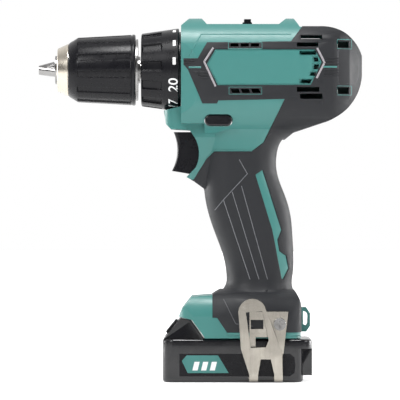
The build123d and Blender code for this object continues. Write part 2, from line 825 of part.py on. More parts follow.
# ---------------------------------------------------------------- motor
can_rear = motor_rear - 1.4
rotor_bearing_radius = 5.0
with BuildPart() as motor_can:
    tube(motor_front, can_rear, motor_radius, motor_radius - can_wall)
    tube(motor_front, motor_front + 1.6, motor_radius, 3)
    tube(motor_front + 1.6, motor_front + 5.4, rotor_bearing_radius + 1.5, rotor_bearing_radius + seat_gap)
    for window in range(6):
        opening = Plane(origin=(motor_front + 9, 0, axis_z), z_dir=(0, 0, 1))
        with BuildSketch(opening) as window_sketch:
            RectangleRounded(4, 7, 1)
        window_tool = extrude(window_sketch.sketch, amount=motor_radius + 1, mode=Mode.PRIVATE)
        add(window_tool.rotate(spindle_axis, 60 * window), mode=Mode.SUBTRACT)
write(motor_can, "motor_can")

magnet_radius = motor_radius - can_wall - seat_gap
with BuildPart() as motor_magnets:
    tube(motor_front + 13, motor_front + 37, magnet_radius, magnet_radius - magnet_thickness)
    block((0, 100), (-4, 4), (axis_z - motor_radius - 1, axis_z + motor_radius + 1), mode=Mode.SUBTRACT)
write(motor_magnets, "motor_magnets")

with BuildPart() as motor_end_cap:
    tube(motor_rear - 1.3, motor_rear, motor_radius, 2.4)
    tube(motor_rear - 3.4, motor_rear - 1.3, motor_radius - can_wall - seat_gap,
         rotor_bearing_radius + seat_gap)
    # channels that hold the brushes
    for y_range in ((-14, -7), (7, 14)):
        for z_range in ((-4, -2.6), (2.6, 4)):
            block((motor_rear - 10, motor_rear - 3.4), y_range, (axis_z + z_range[0], axis_z + z_range[1]))
write(motor_end_cap, "motor_end_cap")

commutator_radius = 6.0
with BuildPart() as motor_brushes:
    for y_range in ((-12, -commutator_radius - 0.1), (commutator_radius + 0.1, 12)):
        block((motor_rear - 9.4, motor_rear - 4.4), y_range, (axis_z - 2.5, axis_z + 2.5))
write(motor_brushes, "motor_brushes")

with BuildPart() as rotor_bearings:
    for front in (motor_front + 1.8, motor_rear - 4.9):
        tube(front, front + 3.5, rotor_bearing_radius, shaft_radius + shaft_gap)
write(rotor_bearings, "rotor_bearings")

with BuildPart() as rotor_shaft:
    tube(stage_fronts["first"] - running_gap / 2, motor_rear - 0.4, shaft_radius - 0.005)
write(rotor_shaft, "rotor_shaft")

pole_count = 5
with BuildPart() as armature:
    tube(motor_front + 14, motor_front + 36, armature_radius, shaft_radius)
    for pole in range(pole_count):
        with BuildSketch(Plane(origin=(0, 0, axis_z), z_dir=(0, 0, 1))) as slot_sketch:
            with Locations((motor_front + 25, 0)):
                Rectangle(30, 2.6)
        slot_tool = extrude(slot_sketch.sketch, amount=armature_radius + 1, mode=Mode.PRIVATE)
        slot_tool = slot_tool.moved(Location((0, 0, 6)))
        add(slot_tool.rotate(spindle_axis, 360 * pole / pole_count), mode=Mode.SUBTRACT)
    # copper end turns
    tube(motor_front + 12.4, motor_front + 14, 11.5, shaft_radius)
    tube(motor_front + 36, motor_front + 38.6, 11.5, shaft_radius)
write(armature, "armature")

with BuildPart() as commutator:
    tube(motor_rear - 11, motor_rear - 5.1, commutator_radius, shaft_radius)
write(commutator, "commutator")

blade_count = 9
with BuildPart() as cooling_fan:
    tube(motor_front + 7.2, motor_front + 11.8, 4, shaft_radius)
    tube(motor_front + 10.8, motor_front + 11.8, 15, 4)
    for blade in range(blade_count):
        with BuildSketch(Plane(origin=(motor_front + 9.2, 0, axis_z + 3.5), z_dir=(0, 0, 1))) as blade_sketch:
            Rectangle(3.6, 1.0)
        blade_tool = extrude(blade_sketch.sketch, amount=11.3, mode=Mode.PRIVATE)
        add(blade_tool.rotate(spindle_axis, 360 * blade / blade_count))
write(cooling_fan, "cooling_fan")

# ---------------------------------------------------------------- controls and electrics in the handle
switch_front = -12.5
switch_low_z = axis_z - 62.0
plunger_radius = 3.0
with BuildPart() as switch_body:
    block((switch_front, 16), (-8.5, 8.5), (switch_low_z, axis_z - 33.5))
    with BuildSketch(Plane(origin=(switch_front, 0, trigger_middle_z), z_dir=(1, 0, 0))) as plunger_hole:
        Circle(plunger_radius + running_gap)
    extrude(plunger_hole.sketch, amount=trigger_travel + 3, mode=Mode.SUBTRACT)
write(switch_body, "switch_body")

with BuildPart() as trigger:
    with BuildSketch(Plane.XZ.offset(-trigger_half_width)):
        with BuildLine():
            Line((-37, trigger_top_z), (-21, trigger_top_z))
            Line((-21, trigger_top_z), (-21, trigger_low_z))
            Polyline((-21, trigger_low_z), (-27.5, trigger_low_z), (-38, trigger_low_z + 1.8))
            ThreePointArc((-38, trigger_low_z + 1.8), (-34.9, trigger_middle_z), (-37, trigger_top_z))
        make_face()
    extrude(amount=2 * trigger_half_width)
    fillet(trigger.edges().filter_by(GeomType.CIRCLE), 2.5)
    with BuildSketch(Plane(origin=(-21, 0, trigger_middle_z), z_dir=(1, 0, 0))) as plunger:
        Circle(plunger_radius)
    extrude(plunger.sketch, amount=21 + switch_front + 1.5)
write(trigger, "trigger")

with BuildPart() as reversing_lever:
    with BuildSketch(Plane.XZ.offset(-lever_reach)) as lever_sketch:
        with Locations((lever_x, lever_z)):
            SlotOverall(lever_length, lever_height)
    extrude(lever_sketch.sketch, amount=2 * lever_reach)
write(reversing_lever, "reversing_lever")

lever_floor = lever_bay_z - wall
with BuildPart() as speed_lever:
    block((speed_lever_x - 2.8, speed_lever_x + 2.8), (-5.5, 5.5), (lever_floor - 0.9, lever_bay_z + 1.4))
    block((speed_lever_x - 1.9, speed_lever_x + 2.2), (-5.5, 5.5), (lever_bay_z, barrel_top - 0.4))
    block((speed_lever_x - 8, speed_lever_x + 8), (-8, 8), (lever_floor - 0.9, lever_floor - 0.3))
write(speed_lever, "speed_lever")

with BuildPart() as shift_fork:
    block((fork_pin[0], speed_lever_x + 3), (-4, 4), (lever_floor - 2.1, lever_floor - 0.9))
    block(fork_pin, (-1.5, 1.5), (axis_z + groove_radius + 0.25, lever_floor - 2.1))
write(shift_fork, "shift_fork")

with BuildPart() as lens_block:
    block((-50, -37.5), (-lamp_half_width, lamp_half_width), (lamp_low_z, lamp_top_z))
    add(outer, mode=Mode.INTERSECT)
write(lens_block, "lamp_lens")

with BuildPart() as lamp_board:
    block((-37.5, -36), (-lamp_half_width + 0.3, lamp_half_width - 0.3),
          (lamp_low_z + 0.3, lamp_top_z - 0.3))
write(lamp_board, "lamp_board")

blade_ys = (-6.0, 0.0, 6.0)
with BuildPart() as terminal_block:
    block((2, 26), (-9.8, 9.8), (tongue_top_z + slide_gap, 45))
    for y in blade_ys:
        block((5, 22), (y - 0.4, y + 0.4), (tongue_top_z - 3, tongue_top_z + 3.4), mode=Mode.SUBTRACT)
write(terminal_block, "terminal_block")

with BuildPart() as terminal_blades:
    for y in blade_ys:
        block((5, 22), (y - 0.4, y + 0.4), (tongue_flange_z - 0.5, tongue_top_z + 3.4))
write(terminal_blades, "terminal_blades")

lead_radius = 1.2
with BuildPart() as power_leads:
    for y in (-4.0, 4.0):
        with BuildLine() as route:
            FilletPolyline((20, y, 45), (20, y, level(75)), (14, y, level(98)), (14, y, switch_low_z),
                           radius=30)
        with BuildSketch(Plane(origin=route.line @ 0, z_dir=route.line % 0)) as lead:
            Circle(lead_radius)
        sweep(lead.sketch, path=route.line)
write(power_leads, "power_leads")

# ---------------------------------------------------------------- battery pack
case_rear = 38.2
case_floor = 1.5
cell_middle_z = case_floor + 0.1 + cell_radius
cell_front = -30.5
cell_pitch = 2 * cell_radius + 0.2
pack_screws_at = ((-37.0, 20.0, 0.0), (-37.0, -20.0, 0.0), (40.4, 20.0, 4.0), (40.4, -20.0, 4.0))
with BuildPart() as battery_case:
    with BuildSketch():
        with Locations(((battery_front + case_rear) / 2, 0)):
            RectangleRounded(case_rear - battery_front, 2 * battery_half_width, 7)
    extrude(amount=battery_split_z)
    fillet(battery_case.faces().sort_by(Axis.Z)[0].edges(), 2.0)
    block((case_rear - 8, battery_rear), (-battery_half_width + 5, battery_half_width - 5),
          (4, battery_split_z))
    block((cell_front - 0.6, cell_front + cell_length + 0.8), (-28, 28), (case_floor, battery_split_z),
          mode=Mode.SUBTRACT)
    block((battery_front + 1.5, cell_front - 2), (-15, 15), (case_floor, battery_split_z),
          mode=Mode.SUBTRACT)
    for x, y, z in pack_screws_at:
        with Locations((x, y, z)):
            Cylinder(2.6, 5.2, mode=Mode.SUBTRACT)
            Cylinder(1.35, 60, mode=Mode.SUBTRACT)
write(battery_case, "battery_case")

slope = Vector(0.627, 0, 0.779)
slope_out = Vector(-0.779, 0, 0.627)
button_low = Vector(-41.0, 0, 28.2)
button_high = Vector(-35.0, 0, 35.6)
button_half_width = 11.0
button_travel = 2.5
button_proud = 0.8
button_depth = 1.8
recess_depth = button_depth + button_travel * slope_out.Z + 1.0
with BuildPart() as battery_cover:
    with BuildSketch(Plane.XY.offset(battery_split_z)):
        with Locations(((battery_front + battery_rear) / 2, 0)):
            RectangleRounded(battery_rear - battery_front, 2 * battery_half_width, 7)
    extrude(amount=battery_top_z - battery_split_z)
    fillet(battery_cover.faces().sort_by(Axis.Z)[-1].edges(), 1.5)
    side_prism(((-42.6, 22), (-42.6, 25), (-33.0, 37.2), (-27.0, 35.6), (-19.6, 25), (-19.6, 22)), -26, 26)
    block((tongue_front, tongue_rear), (-tongue_neck, tongue_neck), (battery_top_z, tongue_flange_z + 1))
    block((tongue_front, tongue_rear), (-tongue_flange, tongue_flange), (tongue_flange_z, tongue_top_z))
    block((-37, 36.4), (-27.4, 27.4), (battery_split_z, 23.2), mode=Mode.SUBTRACT)
    for y in blade_ys:
        block((4, battery_rear), (y - 1, y + 1), (tongue_flange_z - 1.5, tongue_top_z + 1),
              mode=Mode.SUBTRACT)
    # recess in which the release button travels
    drop = Vector(0, 0, -button_travel - 0.4)
    corners = (button_low + slope_out * 2 + drop, button_high + slope_out * 2 + slope * 0.5,
               button_high - slope_out * recess_depth + slope * 0.5,
               button_low - slope_out * 2.6 + drop)
    side_prism([(corner.X, corner.Z) for corner in corners], -button_half_width - slide_gap,
               button_half_width + slide_gap, mode=Mode.SUBTRACT)
    for x, y, z in pack_screws_at:
        with Locations((x, y, z)):
            Cylinder(1.3 + seat_gap, 48, mode=Mode.SUBTRACT)
write(battery_cover, "battery_cover")

with BuildPart() as battery_button:
    corners = (button_low + slope_out * button_proud, button_high + slope_out * button_proud,
               button_high - slope_out * button_depth, button_low - slope_out * button_depth)
    side_prism([(corner.X, corner.Z) for corner in corners], -button_half_width, button_half_width)
write(battery_button, "battery_button")

with BuildPart() as battery_cells:
    for y in (-cell_pitch, 0.0, cell_pitch):
        with BuildSketch(Plane(origin=(cell_front, y, cell_middle_z), z_dir=(1, 0, 0))) as cell:
            Circle(cell_radius)
        extrude(cell.sketch, amount=cell_length)
write(battery_cells, "battery_cells")

with BuildPart() as battery_board:
    block((-28, 30), (-24, 24), (21.0, 22.2))
write(battery_board, "battery_board")

with BuildPart() as battery_contacts:
    for y in blade_ys:
        block((6, 20), (y - 0.95, y + 0.95), (tongue_flange_z - 1.5, tongue_flange_z - 1.0))
write(battery_contacts, "battery_contacts")

with BuildPart() as battery_screws:
    for x, y, z in pack_screws_at:
        with Locations((x, y, z + 1.6)):
            Cylinder(2.3, 1.8)
        with Locations((x, y, z + 9)):
            Cylinder(1.3, 14)
write(battery_screws, "battery_screws")

# ---------------------------------------------------------------- belt clip
plate_outer_y = -foot_half_width - clip_thickness
leaf_inner_y = plate_outer_y - belt_gap
leaf_outer_y = leaf_inner_y - clip_thickness
bend_z = 4.7
prongs = ((6.8, 11.8), (21.2, 26.1))
with BuildPart() as belt_clip:
    side_prism(((6.8, 16.6), (26.6, 16.6), (29.4, 41), (7.0, 41)), plate_outer_y, -foot_half_width)
    side_prism(((10.5, 20.7), (18, 20.7), (18, 26.3), (10.5, 26.3)), plate_outer_y - 1, -foot_half_width + 1,
               mode=Mode.SUBTRACT)
    side_prism(((7.7, 31), (15, 31), (15, 36.3), (7.7, 36.3)), plate_outer_y - 1, -foot_half_width + 1,
               mode=Mode.SUBTRACT)
    with BuildSketch(Plane.XZ.offset(-leaf_inner_y)) as leaf:
        with BuildLine():
            Polyline((0.7, 38.8), (1.9, 19.8), (6.8, bend_z), (11.8, bend_z), (13.4, 13.7), (19.2, 13.7),
                     (21.2, bend_z), (26.1, bend_z), (25.3, 18.2), (15.5, 44.5))
            ThreePointArc((15.5, 44.5), (8.6, 48.6), (0.7, 38.8))
        make_face()
        with BuildLine():
            Polyline((4.8, 40.8), (14.3, 41.5), (18, 24.8), (16.4, 20.7), (7.6, 20.3), close=True)
        make_face(mode=Mode.SUBTRACT)
    extrude(leaf.sketch, amount=clip_thickness)
    for front, rear in prongs:
        block((front, rear), (plate_outer_y, -foot_half_width), (bend_z, 17))
        with BuildSketch(Plane(origin=(front, (-foot_half_width + leaf_outer_y) / 2, bend_z),
                               x_dir=(0, 1, 0), z_dir=(1, 0, 0))) as bend:
            Circle((-foot_half_width - leaf_outer_y) / 2)
            Circle(belt_gap / 2, mode=Mode.SUBTRACT)
            with Locations((0, 10)):
                Rectangle(20, 20, mode=Mode.SUBTRACT)
        extrude(bend.sketch, amount=rear - front)
    cross_bore(clip_screw_x, clip_screw_z, clip_screw_radius + seat_gap, plate_outer_y - 1,
               -foot_half_width + 1, mode=Mode.SUBTRACT)
write(belt_clip, "belt_clip")

with BuildPart() as clip_screw:
    cross_bore(clip_screw_x, clip_screw_z, clip_screw_radius - 0.02, plate_outer_y - 0.5,
               clip_thread_depth - foot_half_width - 0.5)
    cross_bore(clip_screw_x, clip_screw_z, 3.6, plate_outer_y - 2.2, plate_outer_y - seat_gap)
    side_prism(((22.3, 33.3), (26.7, 33.3), (26.7, 34.3), (22.3, 34.3)), plate_outer_y - 3,
               plate_outer_y - 1.2, mode=Mode.SUBTRACT)
    side_prism(((24, 31.6), (25, 31.6), (25, 36), (24, 36)), plate_outer_y - 3, plate_outer_y - 1.2,
               mode=Mode.SUBTRACT)
write(clip_screw, "clip_screw")
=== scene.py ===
import json
import math

import bmesh
import bpy
from bpy.props import FloatProperty, FloatVectorProperty, IntProperty, PointerProperty
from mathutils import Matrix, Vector
from mathutils.bvhtree import BVHTree


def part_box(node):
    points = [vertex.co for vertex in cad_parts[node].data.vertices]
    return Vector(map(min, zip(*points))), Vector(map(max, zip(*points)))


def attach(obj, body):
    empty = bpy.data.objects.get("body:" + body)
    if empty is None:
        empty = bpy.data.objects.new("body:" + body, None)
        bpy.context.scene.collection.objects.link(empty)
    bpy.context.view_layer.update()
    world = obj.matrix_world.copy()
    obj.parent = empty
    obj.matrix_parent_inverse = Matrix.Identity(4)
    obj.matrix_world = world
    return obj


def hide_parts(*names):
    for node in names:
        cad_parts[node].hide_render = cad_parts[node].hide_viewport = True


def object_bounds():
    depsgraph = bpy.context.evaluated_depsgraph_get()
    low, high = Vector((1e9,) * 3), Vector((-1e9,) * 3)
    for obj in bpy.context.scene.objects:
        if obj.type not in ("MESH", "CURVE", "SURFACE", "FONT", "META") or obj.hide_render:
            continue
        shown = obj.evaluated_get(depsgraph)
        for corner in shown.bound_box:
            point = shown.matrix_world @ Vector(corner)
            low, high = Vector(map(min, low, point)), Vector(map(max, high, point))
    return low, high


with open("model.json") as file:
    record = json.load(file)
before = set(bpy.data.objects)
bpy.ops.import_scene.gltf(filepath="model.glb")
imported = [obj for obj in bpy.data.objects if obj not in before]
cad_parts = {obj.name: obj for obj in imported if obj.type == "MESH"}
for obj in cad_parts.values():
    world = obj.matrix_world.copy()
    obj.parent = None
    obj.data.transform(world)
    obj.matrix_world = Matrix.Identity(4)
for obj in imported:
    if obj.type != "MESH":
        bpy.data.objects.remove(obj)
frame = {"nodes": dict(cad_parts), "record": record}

bl_info = {
    "name": "Cordless drill",
    "version": (1, 0, 0),
    "blender": (4, 5, 0),
    "location": "3D View > Sidebar > Drill",
    "description": "Surface detail and finishes for a compact cordless drill, with its studio",
    "category": "Object",
}

MM = 0.001
CAD_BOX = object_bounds()


# ---------------------------------------------------------------- places read from the frame
def corners(node):
    """Lowest and highest corners of a CAD node, as vectors in metres."""
    low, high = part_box(node)
    return Vector(low), Vector(high)


def axis_height():
    """Height of the spindle axis."""
    low, high = corners("chuck_nose_ring")
    return (low.z + high.z) / 2


AXIS_Z = axis_height()


# ---------------------------------------------------------------- settings a user would change
def colour(name, description, default):
    return FloatVectorProperty(
        name=name, description=description, subtype="COLOR", size=3, min=0.0, max=1.0, default=default
    )


def length(name, description, default):
    return FloatProperty(name=name, description=description, unit="LENGTH", default=default)


class DrillColours(bpy.types.PropertyGroup):
    """Colours of the finishes."""

    housing: colour("Housing", "Moulded housing plastic", (0.051, 0.207, 0.191))
    grip: colour("Grip", "Soft over-moulded grip", (0.017, 0.018, 0.021))
    black: colour("Black plastic", "Chuck sleeve, torque ring and levers", (0.006, 0.006, 0.008))
    pack: colour("Pack", "Battery pack case", (0.007, 0.007, 0.009))
    nose: colour("Nose ring", "Pale machined nose ring", (0.74, 0.68, 0.58))
    clip: colour("Belt clip", "Plated spring steel", (0.44, 0.41, 0.36))
    steel: colour("Steel", "Jaws, spindle and screws", (0.36, 0.355, 0.35))
    print: colour("Print", "White printed marks", (0.86, 0.86, 0.86))


class DrillSizes(bpy.types.PropertyGroup):
    """Sizes of the details."""

    sleeve_grooves: IntProperty(
        name="Sleeve grooves", description="Grooves round the chuck sleeve", default=12
    )
    groove_depth: length("Groove depth", "Depth of the chuck sleeve's grooves", 0.8 * MM)
    dial_notches: IntProperty(
        name="Dial notches", description="Finger notches round the torque ring", default=12
    )
    notch_depth: length("Notch depth", "Depth of the torque ring's notches", 1.2 * MM)
    numeral_height: length("Numeral height", "Height of the torque numbers", 5.5 * MM)


def sizes():
    return bpy.context.scene.drill_sizes


def colours():
    return bpy.context.scene.drill_colours


# ---------------------------------------------------------------- shared effects, as node groups
def new_group(name, inputs, outputs):
    """An empty shader node group with float or colour sockets; returns it with its two end nodes."""
    group = bpy.data.node_groups.new(name, "ShaderNodeTree")
    for label, kind, value in inputs:
        socket = group.interface.new_socket(name=label, in_out="INPUT", socket_type=kind)
        socket.default_value = value
    for label, kind in outputs:
        group.interface.new_socket(name=label, in_out="OUTPUT", socket_type=kind)
    return group, group.nodes.new("NodeGroupInput"), group.nodes.new("NodeGroupOutput")


def moulded_surface_group():
    """Moulded texture: fine grain for bump, a slow drift in colour, and light scuffs in roughness."""
    group, start, end = new_group(
        "moulded_surface",
        (
            ("Color", "NodeSocketColor", (0.5, 0.5, 0.5, 1)),
            ("Roughness", "NodeSocketFloat", 0.4),
            ("Grain Size", "NodeSocketFloat", 1500.0),
            ("Drift", "NodeSocketFloat", 0.06),
        ),
        (("Color", "NodeSocketColor"), ("Roughness", "NodeSocketFloat"), ("Height", "NodeSocketFloat")),
    )
    nodes, links = group.nodes, group.links
    place = nodes.new("ShaderNodeTexCoord")
    grain = nodes.new("ShaderNodeTexNoise")
    grain.inputs["Detail"].default_value = 2
    links.new(place.outputs["Object"], grain.inputs["Vector"])
    links.new(start.outputs["Grain Size"], grain.inputs["Scale"])
    drift = nodes.new("ShaderNodeTexNoise")
    drift.inputs["Scale"].default_value = 30
    drift.inputs["Detail"].default_value = 3
    links.new(place.outputs["Object"], drift.inputs["Vector"])
    centred = nodes.new("ShaderNodeMath")
    centred.operation = "SUBTRACT"
    centred.inputs[1].default_value = 0.5
    links.new(drift.outputs["Fac"], centred.inputs[0])
    scaled = nodes.new("ShaderNodeMath")
    scaled.operation = "MULTIPLY_ADD"
    scaled.inputs[2].default_value = 1.0
    links.new(centred.outputs[0], scaled.inputs[0])
    links.new(start.outputs["Drift"], scaled.inputs[1])
    tint = nodes.new("ShaderNodeVectorMath")
    tint.operation = "SCALE"
    links.new(start.outputs["Color"], tint.inputs[0])
    links.new(scaled.outputs[0], tint.inputs["Scale"])
    links.new(tint.outputs[0], end.inputs["Color"])
    scuff = nodes.new("ShaderNodeTexNoise")
    scuff.inputs["Scale"].default_value = 220
    scuff.inputs["Detail"].default_value = 5
    links.new(place.outputs["Object"], scuff.inputs["Vector"])
    rough = nodes.new("ShaderNodeMapRange")
    rough.inputs["From Min"].default_value = 0.3
    rough.inputs["From Max"].default_value = 0.8
    rough.inputs["To Min"].default_value = -0.04
    rough.inputs["To Max"].default_value = 0.08
    links.new(scuff.outputs["Fac"], rough.inputs["Value"])
    total = nodes.new("ShaderNodeMath")
    total.operation = "ADD"
    total.use_clamp = True
    links.new(rough.outputs[0], total.inputs[0])
    links.new(start.outputs["Roughness"], total.inputs[1])
    links.new(total.outputs[0], end.inputs["Roughness"])
    links.new(grain.outputs["Fac"], end.inputs["Height"])
    return group


def worked_metal_group():
    """Worked metal: fine parallel marks along one direction, with smudges in roughness."""
    group, start, end = new_group(
        "worked_metal",
        (
            ("Color", "NodeSocketColor", (0.6, 0.6, 0.6, 1)),
            ("Roughness", "NodeSocketFloat", 0.3),
            ("Stretch", "NodeSocketVector", (1.0, 1.0, 1.0)),
        ),
        (("Color", "NodeSocketColor"), ("Roughness", "NodeSocketFloat"), ("Height", "NodeSocketFloat")),
    )
    nodes, links = group.nodes, group.links
    place = nodes.new("ShaderNodeTexCoord")
    stretch = nodes.new("ShaderNodeVectorMath")
    stretch.operation = "MULTIPLY"
    links.new(place.outputs["Object"], stretch.inputs[0])
    links.new(start.outputs["Stretch"], stretch.inputs[1])
    marks = nodes.new("ShaderNodeTexNoise")
    marks.inputs["Scale"].default_value = 900
    marks.inputs["Detail"].default_value = 4
    links.new(stretch.outputs[0], marks.inputs["Vector"])
    smudge = nodes.new("ShaderNodeTexNoise")
    smudge.inputs["Scale"].default_value = 90
    links.new(place.outputs["Object"], smudge.inputs["Vector"])
    rough = nodes.new("ShaderNodeMapRange")
    rough.inputs["From Min"].default_value = 0.3
    rough.inputs["From Max"].default_value = 0.7
    rough.inputs["To Min"].default_value = -0.06
    rough.inputs["To Max"].default_value = 0.10
    links.new(smudge.outputs["Fac"], rough.inputs["Value"])
    total = nodes.new("ShaderNodeMath")
    total.operation = "ADD"
    total.use_clamp = True
    links.new(rough.outputs[0], total.inputs[0])
    links.new(start.outputs["Roughness"], total.inputs[1])
    links.new(total.outputs[0], end.inputs["Roughness"])
    shade = nodes.new("ShaderNodeMapRange")
    shade.inputs["From Min"].default_value = 0.2
    shade.inputs["From Max"].default_value = 0.8
    shade.inputs["To Min"].default_value = 0.88
    shade.inputs["To Max"].default_value = 1.06
    links.new(marks.outputs["Fac"], shade.inputs["Value"])
    tint = nodes.new("ShaderNodeVectorMath")
    tint.operation = "SCALE"
    links.new(start.outputs["Color"], tint.inputs[0])
    links.new(shade.outputs[0], tint.inputs["Scale"])
    links.new(tint.outputs[0], end.inputs["Color"])
    links.new(marks.outputs["Fac"], end.inputs["Height"])
    return group


def shared_group(name, maker):
    """The named node group, made once."""
    return bpy.data.node_groups.get(name) or maker()


def shader_with(name, group, values, bump, distance, **sockets):
    """A material whose shader takes colour, roughness and bump from a shared group."""
    material = bpy.data.materials.new(name)
    material.use_nodes = True
    nodes, links = material.node_tree.nodes, material.node_tree.links
    shader = nodes["Principled BSDF"]
    for socket, value in sockets.items():
        shader.inputs[socket.replace("_", " ")].default_value = value
    effect = nodes.new("ShaderNodeGroup")
    effect.node_tree = group
    for socket, value in values.items():
        effect.inputs[socket].default_value = value
    links.new(effect.outputs["Color"], shader.inputs["Base Color"])
    links.new(effect.outputs["Roughness"], shader.inputs["Roughness"])
    relief = nodes.new("ShaderNodeBump")
    relief.inputs["Strength"].default_value = bump
    relief.inputs["Distance"].default_value = distance
    links.new(effect.outputs["Height"], relief.inputs["Height"])
    links.new(relief.outputs["Normal"], shader.inputs["Normal"])
    return material


def plastic(name, base, roughness, grain=1500.0, bump=0.15, drift=0.08, **sockets):
    """Moulded plastic or rubber of one colour."""
    group = shared_group("moulded_surface", moulded_surface_group)
    values = {"Color": (*base, 1), "Roughness": roughness, "Grain Size": grain, "Drift": drift}
    return shader_with(name, group, values, bump, 0.0001, **sockets)


def metal(name, base, roughness, stretch=(1.0, 1.0, 1.0), bump=0.08, **sockets):
    """Worked metal with marks that run along one direction."""
    group = shared_group("worked_metal", worked_metal_group)
    values = {"Color": (*base, 1), "Roughness": roughness, "Stretch": stretch}
    return shader_with(name, group, values, bump, 0.0001, Metallic=1.0, **sockets)


def lens_material():
    """Clear moulded lens."""
    group = shared_group("moulded_surface", moulded_surface_group)
    values = {"Color": (0.85, 0.9, 0.92, 1), "Roughness": 0.05, "Grain Size": 700.0, "Drift": 0.02}
    return shader_with("lamp_lens_clear", group, values, 0.02, 0.0001, Transmission_Weight=0.9, IOR=1.45)


FINISHES = {}


def finish(name):
    return FINISHES[name]


def make_finishes():
    """Every material of the drill, by the name of its slot in the record."""
    tone = colours()
    FINISHES.update(
        housing_plastic=plastic("teal_housing", tone.housing, 0.36, grain=2200.0, bump=0.05),
        soft_grip=plastic("soft_grip", tone.grip, 0.52, grain=2600.0, bump=0.30, Specular_IOR_Level=0.35),
        black_plastic=plastic(
            "black_plastic", tone.black, 0.27, grain=2000.0, bump=0.08, Specular_IOR_Level=0.26
        ),
        pack_plastic=plastic("pack_plastic", tone.pack, 0.16, grain=1800.0, bump=0.02, Coat_Weight=0.3),
        zinc_screw=metal("zinc_screw", tone.steel, 0.30),
        black_screw=metal("black_screw", (0.06, 0.06, 0.06), 0.38),
        clip_steel=metal("clip_steel", tone.clip, 0.16, stretch=(1.0, 1.0, 0.05), bump=0.04),
        chuck_steel=metal("chuck_steel", tone.steel, 0.26, stretch=(0.06, 1.0, 1.0)),
        nose_metal=metal("nose_metal", tone.nose, 0.27, stretch=(2.5, 0.2, 0.2), bump=0.05),
        gear_steel=metal("gear_steel", (0.30, 0.30, 0.31), 0.36),
        cast_case=metal("cast_case", (0.50, 0.51, 0.52), 0.48, bump=0.25),
        motor_steel=metal("motor_steel", (0.42, 0.42, 0.43), 0.34),
        magnet=plastic("magnet", (0.03, 0.03, 0.03), 0.6),
        copper=metal("copper", (0.72, 0.34, 0.17), 0.28),
        carbon=plastic("carbon", (0.02, 0.02, 0.02), 0.7),
        lens_clear=lens_material(),
        board_green=plastic("board_green", (0.02, 0.13, 0.05), 0.3),
        contact_metal=metal("contact_metal", (0.62, 0.55, 0.36), 0.3),
        wire_red=plastic("wire_red", (0.35, 0.02, 0.02), 0.45),
        cell_wrap=plastic("cell_wrap", (0.02, 0.10, 0.30), 0.3),
        print_white=plastic("print_white", tone.print, 0.45),
        # lighter grey laid on thin ribs, rims and creases: a painted highlight along their edges
        ridge_grey=plastic("ridge_grey", (0.16, 0.165, 0.18), 0.30, grain=2400.0, bump=0.1),
        frame_silver=plastic("frame_silver", (0.33, 0.31, 0.33), 0.34, grain=1200.0, bump=0.1),
    )


# ---------------------------------------------------------------- mesh helpers
STRIP_STEP = 1.0 * MM  # between the sections of a rib laid on the surface
STRIP_FOOT = 0.15 * MM  # how deep a rib's edges sink into the surface
PATCH_STEP = 1.5 * MM  # between the cuts of a panel laid on the surface
PATCH_DEPTH = 0.3 * MM  # how deep a panel's back sinks into the surface
SEAM = 1e-6  # vertices closer than this are one


def finished(name, mesh, finish_name, body, nodes=()):
    """Turn a bmesh into a named piece that rides a body, with its finish, and stands for CAD nodes."""
    data = bpy.data.meshes.new(name)
    mesh.to_mesh(data)
    mesh.free()
    data.materials.append(finish(finish_name))
    piece = bpy.data.objects.new(name, data)
    bpy.context.scene.collection.objects.link(piece)
    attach(piece, body)
    if nodes:
        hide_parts(*nodes)
    return piece


def shade(piece, angle=35):
    """Smooth shading that stays crisp at edges sharper than the angle."""
    for polygon in piece.data.polygons:
        polygon.use_smooth = True
    with bpy.context.temp_override(object=piece, active_object=piece, selected_objects=[piece],
                                   selected_editable_objects=[piece]):
        bpy.ops.object.shade_smooth_by_angle(angle=math.radians(angle))


def soften(piece, width, segments=2):
    """A small bevel on the sharp edges."""
    bevel = piece.modifiers.new("soft_edges", "BEVEL")
    bevel.width = width
    bevel.segments = segments
    bevel.limit_method = "ANGLE"
    bevel.angle_limit = math.radians(40)
    bevel.harden_normals = False


def lathe(mesh, profile, steps):
    """Spin a closed outline of (x, radius) points, in metres, about the spindle axis."""
    ring = [mesh.verts.new((x, 0, AXIS_Z + radius)) for x, radius in profile]
    edges = [mesh.edges.new(pair) for pair in zip(ring, ring[1:] + ring[:1])]
    bmesh.ops.spin(
        mesh, geom=ring + edges, cent=(0, 0, AXIS_Z), axis=(1, 0, 0), angle=math.tau, steps=steps,
        use_merge=True,
    )
    bmesh.ops.remove_doubles(mesh, verts=mesh.verts, dist=SEAM)
    bmesh.ops.recalc_face_normals(mesh, faces=mesh.faces)


def turn_angle(point):
    """Angle round the spindle axis, in degrees, from the drill's left side upwards."""
    return math.degrees(math.atan2(point.z - AXIS_Z, -point.y)) % 360


def carve(mesh, count, share, middle, front, rear, inset, depth):
    """Sink evenly spaced recesses into the outer faces of a spun ring."""
    pitch = 360 / count
    chosen = {}
    for face in mesh.faces:
        centre = face.calc_center_median()
        radial = Vector((0, centre.y, centre.z - AXIS_Z)).normalized()
        outward = face.normal.dot(radial) > 0.7
        from_middle = (turn_angle(centre) - middle + pitch / 2) % pitch - pitch / 2
        if outward and front < centre.x < rear and abs(from_middle) < share * pitch / 2:
            number = round((turn_angle(centre) - middle) / pitch) % count
            chosen.setdefault(number, []).append(face)
    for faces in chosen.values():
        bmesh.ops.inset_region(mesh, faces=faces, thickness=inset, depth=-depth, use_even_offset=True)


def copy_of(node):
    """A bmesh copy of a CAD node, its seams merged."""
    mesh = bmesh.new()
    mesh.from_mesh(frame["nodes"][node].data)
    bmesh.ops.remove_doubles(mesh, verts=mesh.verts, dist=SEAM)
    return mesh


